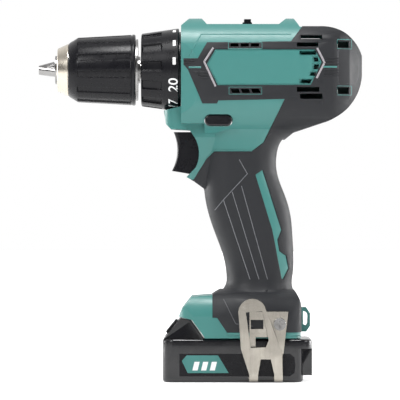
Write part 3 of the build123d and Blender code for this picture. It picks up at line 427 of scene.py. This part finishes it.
def rounded_copy(node, name, finish_name, body, width, segments=2, angle=35):
    """A copy of a CAD node with softened edges that stands for it."""
    mesh = copy_of(node)
    bmesh.ops.dissolve_limit(
        mesh, angle_limit=math.radians(1), verts=mesh.verts, edges=mesh.edges, use_dissolve_boundaries=False
    )
    piece = finished(name, mesh, finish_name, body, [node])
    soften(piece, width, segments)
    shade(piece, angle)
    return piece


def smooth_regions(mesh, limit):
    """Groups of faces joined across edges flatter than the limit, in degrees."""
    limit = math.radians(limit)
    waiting = set(mesh.faces)
    while waiting:
        seed = waiting.pop()
        region, stack = [seed], [seed]
        while stack:
            for edge in stack.pop().edges:
                if len(edge.link_faces) == 2 and edge.calc_face_angle(0) < limit:
                    for face in edge.link_faces:
                        if face in waiting:
                            waiting.remove(face)
                            region.append(face)
                            stack.append(face)
        yield region


def raised_skin(node, name, finish_name, body, side, lift, width):
    """A copy of a grip skin whose outer face stands proud, with rounded rims. side is -1 left, 1 right."""
    mesh = copy_of(node)
    outer = set()
    for region in smooth_regions(mesh, 30):
        area = sum(face.calc_area() for face in region)
        across = sum(face.normal.y * face.calc_area() for face in region) / max(area, 1e-12)
        if across * side > 0.2:
            outer.update(region)
    rims = [
        edge for edge in mesh.edges
        if len(edge.link_faces) == 2 and sum(face in outer for face in edge.link_faces) == 1
        and edge.calc_face_angle(0) > math.radians(45)
    ]
    shifts = {}
    for vert in {vert for face in outer for vert in face.verts}:
        normal = Vector()
        for face in vert.link_faces:
            if face in outer:
                normal += face.normal * face.calc_area()
        if normal.length > 0:
            shifts[vert] = normal.normalized() * lift
    for vert, shift in shifts.items():
        vert.co += shift
    rims = [edge for edge in rims if edge.calc_length() > 0.4 * MM]
    bmesh.ops.bevel(
        mesh, geom=rims, offset=width, offset_type="OFFSET", segments=2, profile=0.5, affect="EDGES",
        clamp_overlap=False, material=-1,
    )
    piece = finished(name, mesh, finish_name, body, [node])
    shade(piece, 40)
    return piece


def surface_tree(nodes):
    """A ray-casting tree over some CAD nodes."""
    mesh = bmesh.new()
    for node in nodes:
        mesh.from_mesh(frame["nodes"][node].data)
    tree = BVHTree.FromBMesh(mesh)
    mesh.free()
    return tree


def on_surface(tree, x, z, side):
    """Where a ray from the given side meets the surface, and the normal there."""
    start = Vector((x, side * 200 * MM, z))
    place, normal, face, distance = tree.ray_cast(start, Vector((0, -side, 0)))
    if place is None:
        # beside the surface: stay near its rim
        return Vector((x, side * 20 * MM, z)), Vector((0, side, 0))
    return place, normal


def resampled(points, step, closed=False):
    """Points along a side outline, in metres, no further apart than the step."""
    ends = points + [points[0]] if closed else points
    made = []
    for start, end in zip(ends, ends[1:]):
        start, end = Vector(start), Vector(end)
        count = max(1, math.ceil((end - start).length / step))
        made += [start.lerp(end, number / count) for number in range(count)]
    return made if closed else made + [Vector(ends[-1])]


def strip(mesh, tree, points, side, width, height):
    """A low half-round rib laid along a line on the surface; points are (x, z) in millimetres."""
    line = resampled([(x * MM, z * MM) for x, z in points], STRIP_STEP)
    section = (
        (-0.5, -STRIP_FOOT), (-0.36, 0.75 * height), (0, height), (0.36, 0.75 * height), (0.5, -STRIP_FOOT),
    )
    loops = []
    for number, point in enumerate(line):
        before = line[max(number - 1, 0)]
        after = line[min(number + 1, len(line) - 1)]
        along = (after - before).normalized()
        across = Vector((-along.y, along.x))
        ring = []
        for share, rise in section:
            spot = point + across * share * width
            place, normal = on_surface(tree, spot.x, spot.y, side)
            ring.append(mesh.verts.new(place + normal * rise))
        loops.append([mesh.edges.new(pair) for pair in zip(ring, ring[1:] + ring[:1])])
    for first, second in zip(loops, loops[1:]):
        bmesh.ops.bridge_loops(mesh, edges=first + second)
    for end in (loops[0], loops[-1]):
        bmesh.ops.holes_fill(mesh, edges=end, sides=len(section))


def strips(name, nodes, lines, finish_name, body, width, height, sides=(-1, 1)):
    """Ribs along several lines, on both sides of the drill."""
    tree = surface_tree(nodes)
    mesh = bmesh.new()
    for side in sides:
        for line in lines:
            strip(mesh, tree, line, side, width, height)
    bmesh.ops.recalc_face_normals(mesh, faces=mesh.faces)
    piece = finished(name, mesh, finish_name, body)
    shade(piece, 60)
    return piece


def patch(mesh, tree, outline, side, lift):
    """A thin sheet over the surface inside a side outline, its sides closed; points in millimetres."""
    points = resampled([(x * MM, z * MM) for x, z in outline], PATCH_STEP, True)
    rim = [mesh.verts.new((point.x, 0, point.y)) for point in points]
    sheet = [mesh.faces.new(rim)]
    low = min(vert.co.x for vert in rim)
    high = max(vert.co.x for vert in rim)
    bottom = min(vert.co.z for vert in rim)
    top = max(vert.co.z for vert in rim)
    for axis, start, end in (((1, 0, 0), low, high), ((0, 0, 1), bottom, top)):
        count = int((end - start) / PATCH_STEP)
        for number in range(1, count + 1):
            at = start + (end - start) * number / (count + 1)
            edges = {edge for face in sheet for edge in face.edges}
            verts = {vert for face in sheet for vert in face.verts}
            cut = bmesh.ops.bisect_plane(
                mesh, geom=[*sheet, *edges, *verts], plane_co=Vector(axis) * at, plane_no=axis, dist=1e-7
            )
            sheet = [item for item in cut["geom"] if isinstance(item, bmesh.types.BMFace)]
    for vert in {vert for face in sheet for vert in face.verts}:
        place, normal = on_surface(tree, vert.co.x, vert.co.z, side)
        vert.co = place + normal * lift
    grown = bmesh.ops.extrude_face_region(mesh, geom=sheet)
    for item in grown["geom"]:
        if isinstance(item, bmesh.types.BMVert):
            place, normal = on_surface(tree, item.co.x, item.co.z, side)
            item.co = place - normal * PATCH_DEPTH


def patches(name, nodes, outlines, finish_name, body, lift, sides=(-1, 1)):
    """Thin raised panels over several side outlines."""
    tree = surface_tree(nodes)
    mesh = bmesh.new()
    for side in sides:
        for outline in outlines:
            patch(mesh, tree, outline, side, lift)
    bmesh.ops.recalc_face_normals(mesh, faces=mesh.faces)
    piece = finished(name, mesh, finish_name, body)
    shade(piece, 40)
    return piece


# ---------------------------------------------------------------- operators
class DRILL_OT_finishes(bpy.types.Operator):
    """Give every CAD node its finish"""

    bl_idname = "drill.finishes"
    bl_label = "Finishes"

    def execute(self, context):
        make_finishes()
        slots = {part["node"]: part["material_slot"] for part in frame["record"]["subparts"]}
        for node, piece in frame["nodes"].items():
            piece.data.materials.clear()
            piece.data.materials.append(finish(slots[node]))
        return {"FINISHED"}


class DRILL_OT_chuck_sleeve(bpy.types.Operator):
    """Grooved sleeve of the keyless chuck"""

    bl_idname = "drill.chuck_sleeve"
    bl_label = "Chuck sleeve"

    def execute(self, context):
        low, high = corners("chuck_sleeve")
        front, rear = low.x, high.x
        bore = (corners("chuck_nut")[1].z - AXIS_Z) + 0.05 * MM
        widest = high.z - AXIS_Z
        lip = rear - 2.6 * MM
        start = front + 5.2 * MM
        profile = [
            (front, 13.7 * MM),
            (front, 15.4 * MM),
            (front + 0.4 * MM, 15.9 * MM),
            (front + 3.4 * MM, 17.7 * MM),
            (start - 0.3 * MM, widest - 2.1 * MM),
            (start + 0.6 * MM, widest - 1.9 * MM),
            (lip, widest - 0.25 * MM),
            (lip + 0.5 * MM, widest - 0.6 * MM),
            (lip + 0.9 * MM, widest - 0.1 * MM),
            (rear - 0.6 * MM, widest),
            (rear, widest - 0.5 * MM),
            (rear, bore),
            (rear - 18 * MM, bore),
            (rear - 19 * MM, 13.7 * MM),
        ]
        mesh = bmesh.new()
        lathe(mesh, profile, 144)
        size = sizes()
        carve(
            mesh, size.sleeve_grooves, share=0.36, middle=21.0, front=start, rear=lip, inset=0.35 * MM,
            depth=size.groove_depth,
        )
        piece = finished("chuck_sleeve_grooved", mesh, "black_plastic", "sleeve", ["chuck_sleeve"])
        soften(piece, 0.18 * MM)
        shade(piece)
        return {"FINISHED"}


class DRILL_OT_torque_ring(bpy.types.Operator):
    """Torque ring with finger notches, dashes and numbers"""

    bl_idname = "drill.torque_ring"
    bl_label = "Torque ring"

    def execute(self, context):
        low, high = corners("torque_ring")
        front, rear = low.x, high.x
        widest = high.z - AXIS_Z
        self.slope = 3.1 * MM / (rear - 1.1 * MM - front)
        self.front_radius = widest - 3.1 * MM
        self.front = front
        edge = rear - 1.1 * MM
        notch_end = front + 12.2 * MM
        profile = [
            (front, 9.2 * MM),
            (front, self.front_radius - 0.8 * MM),
            (front + 0.5 * MM, self.radius_at(front + 0.5 * MM)),
            (notch_end, self.radius_at(notch_end)),
            (edge - 0.4 * MM, widest),
            (edge, widest - 0.5 * MM),
            (edge + 0.05 * MM, widest - 2.0 * MM),
            (rear, widest - 2.0 * MM),
            (rear, 17.4 * MM),
            (front + 5.0 * MM, 17.4 * MM),
            (front + 4.8 * MM, 13.7 * MM),
            (front + 1.9 * MM, 13.7 * MM),
            (front + 1.8 * MM, 9.2 * MM),
        ]
        mesh = bmesh.new()
        lathe(mesh, profile, 120)
        size = sizes()
        carve(
            mesh, size.dial_notches, share=0.52, middle=5.4, front=front + 0.4 * MM, rear=notch_end,
            inset=0.5 * MM, depth=size.notch_depth,
        )
        piece = finished("torque_ring_notched", mesh, "black_plastic", "clutch_dial", ["torque_ring"])
        soften(piece, 0.2 * MM)
        shade(piece)
        self.print_marks(front + 19.0 * MM)
        return {"FINISHED"}

    def radius_at(self, x):
        return self.front_radius + (x - self.front) * self.slope

    def wrap(self, mesh, middle_x, middle_angle):
        """Lay a flat mark on the ring: its own x runs round the ring and its own y towards the nose."""
        for vert in mesh.verts:
            x = middle_x - vert.co.y
            radius = self.radius_at(x) + 0.06 * MM + vert.co.z
            angle = math.radians(middle_angle) + vert.co.x / self.radius_at(x)
            vert.co = (x, -radius * math.cos(angle), AXIS_Z + radius * math.sin(angle))

    def print_marks(self, middle_x):
        marks = {20: -23.2, 17: -58.0, 13: -93.0, 9: -129.0, 5: -165.0, 1: -201.0}
        everything = bmesh.new()
        for number, angle in marks.items():
            flat = text_mesh(str(number), sizes().numeral_height)
            bmesh.ops.scale(flat, vec=(NUMERAL_STRETCH, 1, 1), verts=flat.verts)
            self.wrap(flat, middle_x, angle)
            join_mesh(everything, flat)
        for angle in (11.0, 39.4, 70.0, 104.0):
            dash = bmesh.new()
            bmesh.ops.create_grid(dash, x_segments=8, y_segments=1, size=0.5)
            bmesh.ops.scale(dash, vec=(4.3 * MM, 1.75 * MM, 1), verts=dash.verts)
            self.wrap(dash, middle_x + 0.35 * MM, angle)
            join_mesh(everything, dash)
        finished("torque_ring_print", everything, "print_white", "clutch_dial")


class DRILL_OT_grips(bpy.types.Operator):
    """Soft grip skins that stand slightly proud, with rounded rims"""

    bl_idname = "drill.grips"
    bl_label = "Grips"

    def execute(self, context):
        for name, side in (("left", -1), ("right", 1)):
            raised_skin(
                f"{name}_grip", f"{name}_grip_skin", "soft_grip", "housing", side,
                lift=0.35 * MM, width=0.3 * MM,
            )
        return {"FINISHED"}


class DRILL_OT_metalwork(bpy.types.Operator):
    """Softened edges on the chuck's metal, the belt clip and its screw"""

    bl_idname = "drill.metalwork"
    bl_label = "Metalwork"

    def execute(self, context):
        rounded_copy(
            "chuck_nose_ring", "nose_ring_turned", "nose_metal", "spindle_assembly", width=0.4 * MM
        )
        rounded_copy("belt_clip", "belt_clip_sprung", "clip_steel", "housing", width=0.45 * MM)
        rounded_copy("clip_screw", "clip_screw_head", "zinc_screw", "housing", width=0.15 * MM)
        return {"FINISHED"}


class DRILL_OT_controls(bpy.types.Operator):
    """Trigger and levers with softened edges"""

    bl_idname = "drill.controls"
    bl_label = "Controls"

    def execute(self, context):
        rounded_copy(
            "trigger", "trigger_pad", "black_plastic", "trigger_button", width=0.5 * MM, segments=3
        )
        rounded_copy(
            "reversing_lever", "reversing_lever_pad", "pack_plastic", "reverser", width=0.6 * MM, segments=3
        )
        rounded_copy("speed_lever", "speed_lever_cap", "black_plastic", "speed_selector", width=0.3 * MM)
        return {"FINISHED"}


class DRILL_OT_battery(bpy.types.Operator):
    """Battery pack with softened edges, its label and charge marks"""

    bl_idname = "drill.battery"
    bl_label = "Battery pack"

    def execute(self, context):
        rounded_copy(
            "battery_case", "battery_case_moulded", "pack_plastic", "battery_pack", width=0.5 * MM
        )
        rounded_copy(
            "battery_cover", "battery_cover_moulded", "pack_plastic", "battery_pack", width=0.4 * MM
        )
        rounded_copy(
            "battery_button", "battery_button_moulded", "black_plastic", "release_button", width=0.5 * MM
        )
        case = ["battery_case"]
        field = [
            (-33.5, 3.6), (-33.5, 16.6), (30.4, 16.6), (33.0, 14.5), (33.5, 10.0), (33.0, 5.6), (30.4, 3.6),
        ]
        patches("battery_label_field", case, [field], "black_plastic", "battery_pack", lift=0.12 * MM)
        flag = [(-32.1, 12.5), (-29.3, 15.7), (-11.2, 15.7), (-5.0, 5.5), (-28.7, 5.5)]
        patches("battery_label_flag", case, [flag], "housing_plastic", "battery_pack", lift=0.22 * MM)
        bars = [
            [(start, 7.0), (start + 1.2, 12.0), (start + 4.2, 12.0), (start + 3.0, 7.0)]
            for start in (-26.0, -21.0, -16.0)
        ]
        patches("battery_charge_bars", case, bars, "print_white", "battery_pack", lift=0.3 * MM)
        return {"FINISHED"}


class DRILL_OT_badge(bpy.types.Operator):
    """Raised side badge, chevrons, ribs, vent frames and the foot's trim"""

    bl_idname = "drill.badge"
    bl_label = "Barrel trim"

    def execute(self, context):
        halves = ["left_housing", "right_housing", "left_grip", "right_grip"]
        panel = [
            (-16.6, 184.3), (-12.0, 191.8), (44.2, 191.8), (47.8, 185.2), (41.8, 172.9), (-10.8, 172.7),
        ]
        patches("badge_panel", halves, [panel], "housing_plastic", "housing", lift=0.5 * MM)
        chevrons = [
            [(-13.9, 193.6), (-19.2, 185.5), (-12.6, 171.2)],
            [(46.2, 193.4), (50.4, 185.0), (45.8, 176.0)],
        ]
        strips(
            "badge_chevrons", halves, chevrons, "frame_silver", "housing", width=1.5 * MM, height=0.55 * MM
        )
        ribs = [[(-30.8, z), (-23.6, z)] for z in (184.9, 185.9, 186.9)]
        ribs += [
            [(-25.3 + step * 1.1, 179.9 - step * 0.9), (-17.2, 179.9 - step * 0.9)] for step in range(5)
        ]
        ribs += [[(50.3, z), (58.5, z)] for z in (177.6, 179.2, 180.8, 184.4, 186.0, 187.6)]
        strips("barrel_ribs", halves, ribs, "soft_grip", "housing", width=0.7 * MM, height=0.7 * MM)
        lines = [[(-28.0, 182.3), (-21.0, 182.3)], [(48.8, 182.6), (57.6, 182.6)]]
        strips(
            "barrel_stripes", halves, lines, "housing_plastic", "housing", width=1.4 * MM, height=0.5 * MM
        )
        frames = [
            [(front, low), (rear, low), (rear, high), (front, high), (front, low)]
            for front, rear, low, high in (
                (-5.2, 14.3, 193.0, 196.7), (-4.8, 14.1, 166.7, 170.8),
                (57.8, 66.2, 193.2, 198.6), (57.8, 66.2, 166.4, 171.6),
            )
        ]
        strips(
            "vent_frames", halves, frames, "housing_plastic", "housing", width=0.8 * MM, height=0.4 * MM
        )
        # rim round the rear cap's recess in lighter grey: a painted highlight along its edge
        cap = [[
            (58.2, 173.0), (58.2, 192.0), (68.6, 192.0), (70.4, 188.0), (70.4, 177.0), (68.6, 173.0),
            (58.2, 173.0),
        ]]
        strips("cap_panel_rim", halves, cap, "ridge_grey", "housing", width=0.6 * MM, height=0.35 * MM)
        foot = [[(-6.0, 28.0), (12.0, 27.6), (36.0, 27.6)]]
        strips("foot_trim", halves, foot, "housing_plastic", "housing", width=1.9 * MM, height=0.35 * MM)
        # crease on the foot in lighter grey: a painted highlight along it
        foot_crease = [[(-8.0, 48.0), (-1.0, 34.0), (9.0, 32.6)]]
        strips(
            "foot_crease", halves, foot_crease, "ridge_grey", "housing", width=0.6 * MM, height=0.4 * MM
        )
        crease = [[(-21.0, 201.6), (31.0, 201.6)], [(-21.0, 201.6), (-28.0, 189.0)]]
        strips(
            "barrel_crease", halves, crease, "housing_plastic", "housing", width=0.8 * MM, height=0.22 * MM
        )
        return {"FINISHED"}


class DRILL_OT_handle_lines(bpy.types.Operator):
    """Moulded lines on the handle's grip, their lighter grey a painted highlight"""

    bl_idname = "drill.handle_lines"
    bl_label = "Handle lines"

    def execute(self, context):
        grips = ["left_grip", "right_grip", "left_housing", "right_housing"]
        lines = [
            [(-8.0, 105.8), (7.5, 59.4)],
            [(-2.9, 110.2), (12.6, 59.4)],
            [(2.5, 113.7), (17.6, 59.4)],
            [(-12.7, 99.7), (-7.0, 106.7), (5.9, 120.7), (1.2, 129.0)],
        ]
        # the lines' lighter grey is a painted highlight along the moulded ridges
        strips("handle_lines", grips, lines, "ridge_grey", "housing", width=0.55 * MM, height=0.5 * MM)
        # the neck ridge's lighter grey is a painted highlight band where the grip flares into the foot
        neck = [[(-3.6, 57.0), (6.0, 55.8), (22.0, 55.8), (29.6, 57.0)]]
        strips("neck_ridge", grips, neck, "ridge_grey", "housing", width=0.9 * MM, height=0.3 * MM)
        rim = [[(-17.6, 130.1), (-13.2, 134.3), (8.0, 134.3)]]
        strips("grip_rim", grips, rim, "housing_plastic", "housing", width=0.7 * MM, height=0.45 * MM)
        return {"FINISHED"}


def join_mesh(target, source):
    """Add one bmesh to another and free it."""
    data = bpy.data.meshes.new("joining")
    source.to_mesh(data)
    source.free()
    target.from_mesh(data)
    bpy.data.meshes.remove(data)


SIZE_FOR_HEIGHT = 1.42  # text size for a numeral of height 1
NUMERAL_WEIGHT = 0.012  # how far a numeral's outline is moved outwards, as a share of its height
NUMERAL_STRETCH = 1.12  # numerals are printed this much wider than the font's


def text_mesh(words, height):
    """Flat text, centred on the origin, as a bmesh finely cut so that it can be bent."""
    curve = bpy.data.curves.new("numeral", "FONT")
    curve.body = words
    curve.align_x = "CENTER"
    curve.align_y = "CENTER"
    curve.size = height * SIZE_FOR_HEIGHT
    curve.offset = height * NUMERAL_WEIGHT
    curve.resolution_u = 4
    holder = bpy.data.objects.new("numeral", curve)
    data = bpy.data.meshes.new_from_object(holder)
    mesh = bmesh.new()
    mesh.from_mesh(data)
    bpy.data.objects.remove(holder)
    bpy.data.curves.remove(curve)
    bpy.data.meshes.remove(data)
    bmesh.ops.subdivide_edges(mesh, edges=mesh.edges, cuts=1)
    return mesh


class DRILL_OT_stage(bpy.types.Operator):
    """Pale floor, studio lights and the camera"""

    bl_idname = "drill.stage"
    bl_label = "Studio"

    def execute(self, context):
        self.floor()
        self.lights()
        self.camera(context.scene)
        self.surroundings(context.scene)
        return {"FINISHED"}

    def floor(self):
        mesh = bmesh.new()
        bmesh.ops.create_grid(mesh, x_segments=1, y_segments=1, size=6.0)
        bmesh.ops.translate(mesh, verts=mesh.verts, vec=(0, 0, CAD_BOX[0][2] - 0.0001))
        data = bpy.data.meshes.new("studio_floor")
        mesh.to_mesh(data)
        mesh.free()
        data.materials.append(self.paper())
        floor = bpy.data.objects.new("studio_floor", data)
        bpy.context.scene.collection.objects.link(floor)

    def paper(self):
        """White paper, lit from below far from the drill and by the lamps near it."""
        paper = plastic("studio_paper", (0.9, 0.9, 0.9), 0.85, grain=400.0, bump=0.02, drift=0.0)
        nodes, links = paper.node_tree.nodes, paper.node_tree.links
        place = nodes.new("ShaderNodeTexCoord")
        distance = nodes.new("ShaderNodeVectorMath")
        distance.operation = "LENGTH"
        links.new(place.outputs["Object"], distance.inputs[0])
        glow = nodes.new("ShaderNodeMapRange")
        glow.inputs["From Min"].default_value = 0.15
        glow.inputs["From Max"].default_value = 0.8
        glow.inputs["To Min"].default_value = 0.62
        glow.inputs["To Max"].default_value = 1.0
        links.new(distance.outputs["Value"], glow.inputs["Value"])
        # reflections see the paper dimmer than the camera does
        seen = nodes.new("ShaderNodeLightPath")
        share = nodes.new("ShaderNodeMapRange")
        share.inputs["To Min"].default_value = 0.35
        share.inputs["To Max"].default_value = 1.0
        links.new(seen.outputs["Is Camera Ray"], share.inputs["Value"])
        strength = nodes.new("ShaderNodeMath")
        strength.operation = "MULTIPLY"
        links.new(glow.outputs[0], strength.inputs[0])
        links.new(share.outputs[0], strength.inputs[1])
        shader = nodes["Principled BSDF"]
        shader.inputs["Emission Color"].default_value = (1, 1, 1, 1)
        links.new(strength.outputs[0], shader.inputs["Emission Strength"])
        return paper

    def lights(self):
        middle = Vector((-0.02, 0, 0.11))
        for name, place, size, power in (
            ("key_light", (-0.75, -0.95, 0.95), 0.45, 9.0),
            ("side_light", (1.0, -0.5, 0.5), 0.5, 4.5),
            ("top_light", (-0.05, -0.32, 1.12), 0.35, 8.0),
            ("left_rim_light", (-1.1, 0.55, 0.25), 0.5, 7.0),
            ("right_rim_light", (1.1, 0.55, 0.25), 0.5, 7.0),
        ):
            data = bpy.data.lights.new(name, "AREA")
            data.energy = power
            data.size = size
            light = bpy.data.objects.new(name, data)
            light.location = place
            towards = middle - Vector(place)
            light.rotation_euler = towards.to_track_quat("-Z", "Y").to_euler()
            bpy.context.scene.collection.objects.link(light)

    def camera(self, scene):
        view_width = 0.234
        distance = 2.4
        middle_x, middle_z = -0.0216, 0.1055
        data = bpy.data.cameras.new("camera")
        data.sensor_width = 36
        data.lens = data.sensor_width * distance / view_width
        camera = bpy.data.objects.new("camera", data)
        camera.location = (middle_x, -distance, middle_z)
        camera.rotation_euler = (math.radians(90), 0, 0)
        scene.collection.objects.link(camera)
        scene.camera = camera

    def surroundings(self, scene):
        world = bpy.data.worlds.new("studio_room")
        world.use_nodes = True
        nodes, links = world.node_tree.nodes, world.node_tree.links
        room = nodes["Background"]
        room.inputs["Color"].default_value = (1, 1, 1, 1)
        # the room is white behind the drill and dim in front of it
        place = nodes.new("ShaderNodeTexCoord")
        split = nodes.new("ShaderNodeSeparateXYZ")
        links.new(place.outputs["Generated"], split.inputs[0])
        dim = nodes.new("ShaderNodeMapRange")
        dim.inputs["From Min"].default_value = -0.35
        dim.inputs["From Max"].default_value = 0.55
        dim.inputs["To Min"].default_value = 0.12
        dim.inputs["To Max"].default_value = 0.85
        links.new(split.outputs["Y"], dim.inputs["Value"])
        links.new(dim.outputs[0], room.inputs["Strength"])
        backdrop = nodes.new("ShaderNodeBackground")
        backdrop.inputs["Color"].default_value = (1, 1, 1, 1)
        backdrop.inputs["Strength"].default_value = 1.0
        seen = nodes.new("ShaderNodeLightPath")
        mix = nodes.new("ShaderNodeMixShader")
        links.new(seen.outputs["Is Camera Ray"], mix.inputs["Fac"])
        links.new(room.outputs[0], mix.inputs[1])
        links.new(backdrop.outputs[0], mix.inputs[2])
        links.new(mix.outputs[0], nodes["World Output"].inputs["Surface"])
        scene.world = world
        scene.view_settings.view_transform = "Standard"


class DRILL_PT_panel(bpy.types.Panel):
    """Lists the drill's steps and settings"""

    bl_label = "Cordless drill"
    bl_idname = "DRILL_PT_panel"
    bl_space_type = "VIEW_3D"
    bl_region_type = "UI"
    bl_category = "Drill"

    def draw(self, context):
        for settings in (colours(), sizes()):
            for name in settings.__annotations__:
                self.layout.prop(settings, name)
        for operator in OPERATORS:
            self.layout.operator(operator.bl_idname)


OPERATORS = (
    DRILL_OT_finishes,
    DRILL_OT_chuck_sleeve,
    DRILL_OT_torque_ring,
    DRILL_OT_metalwork,
    DRILL_OT_controls,
    DRILL_OT_grips,
    DRILL_OT_badge,
    DRILL_OT_handle_lines,
    DRILL_OT_battery,
    DRILL_OT_stage,
)
CLASSES = (DrillColours, DrillSizes, *OPERATORS, DRILL_PT_panel)


def register():
    for cls in CLASSES:
        bpy.utils.register_class(cls)
    bpy.types.Scene.drill_colours = PointerProperty(type=DrillColours)
    bpy.types.Scene.drill_sizes = PointerProperty(type=DrillSizes)


def unregister():
    del bpy.types.Scene.drill_sizes
    del bpy.types.Scene.drill_colours
    for cls in reversed(CLASSES):
        bpy.utils.unregister_class(cls)


def main():
    register()
    for operator in OPERATORS:
        group, name = operator.bl_idname.split(".")
        getattr(getattr(bpy.ops, group), name)()


if __name__ == "__main__":
    main()
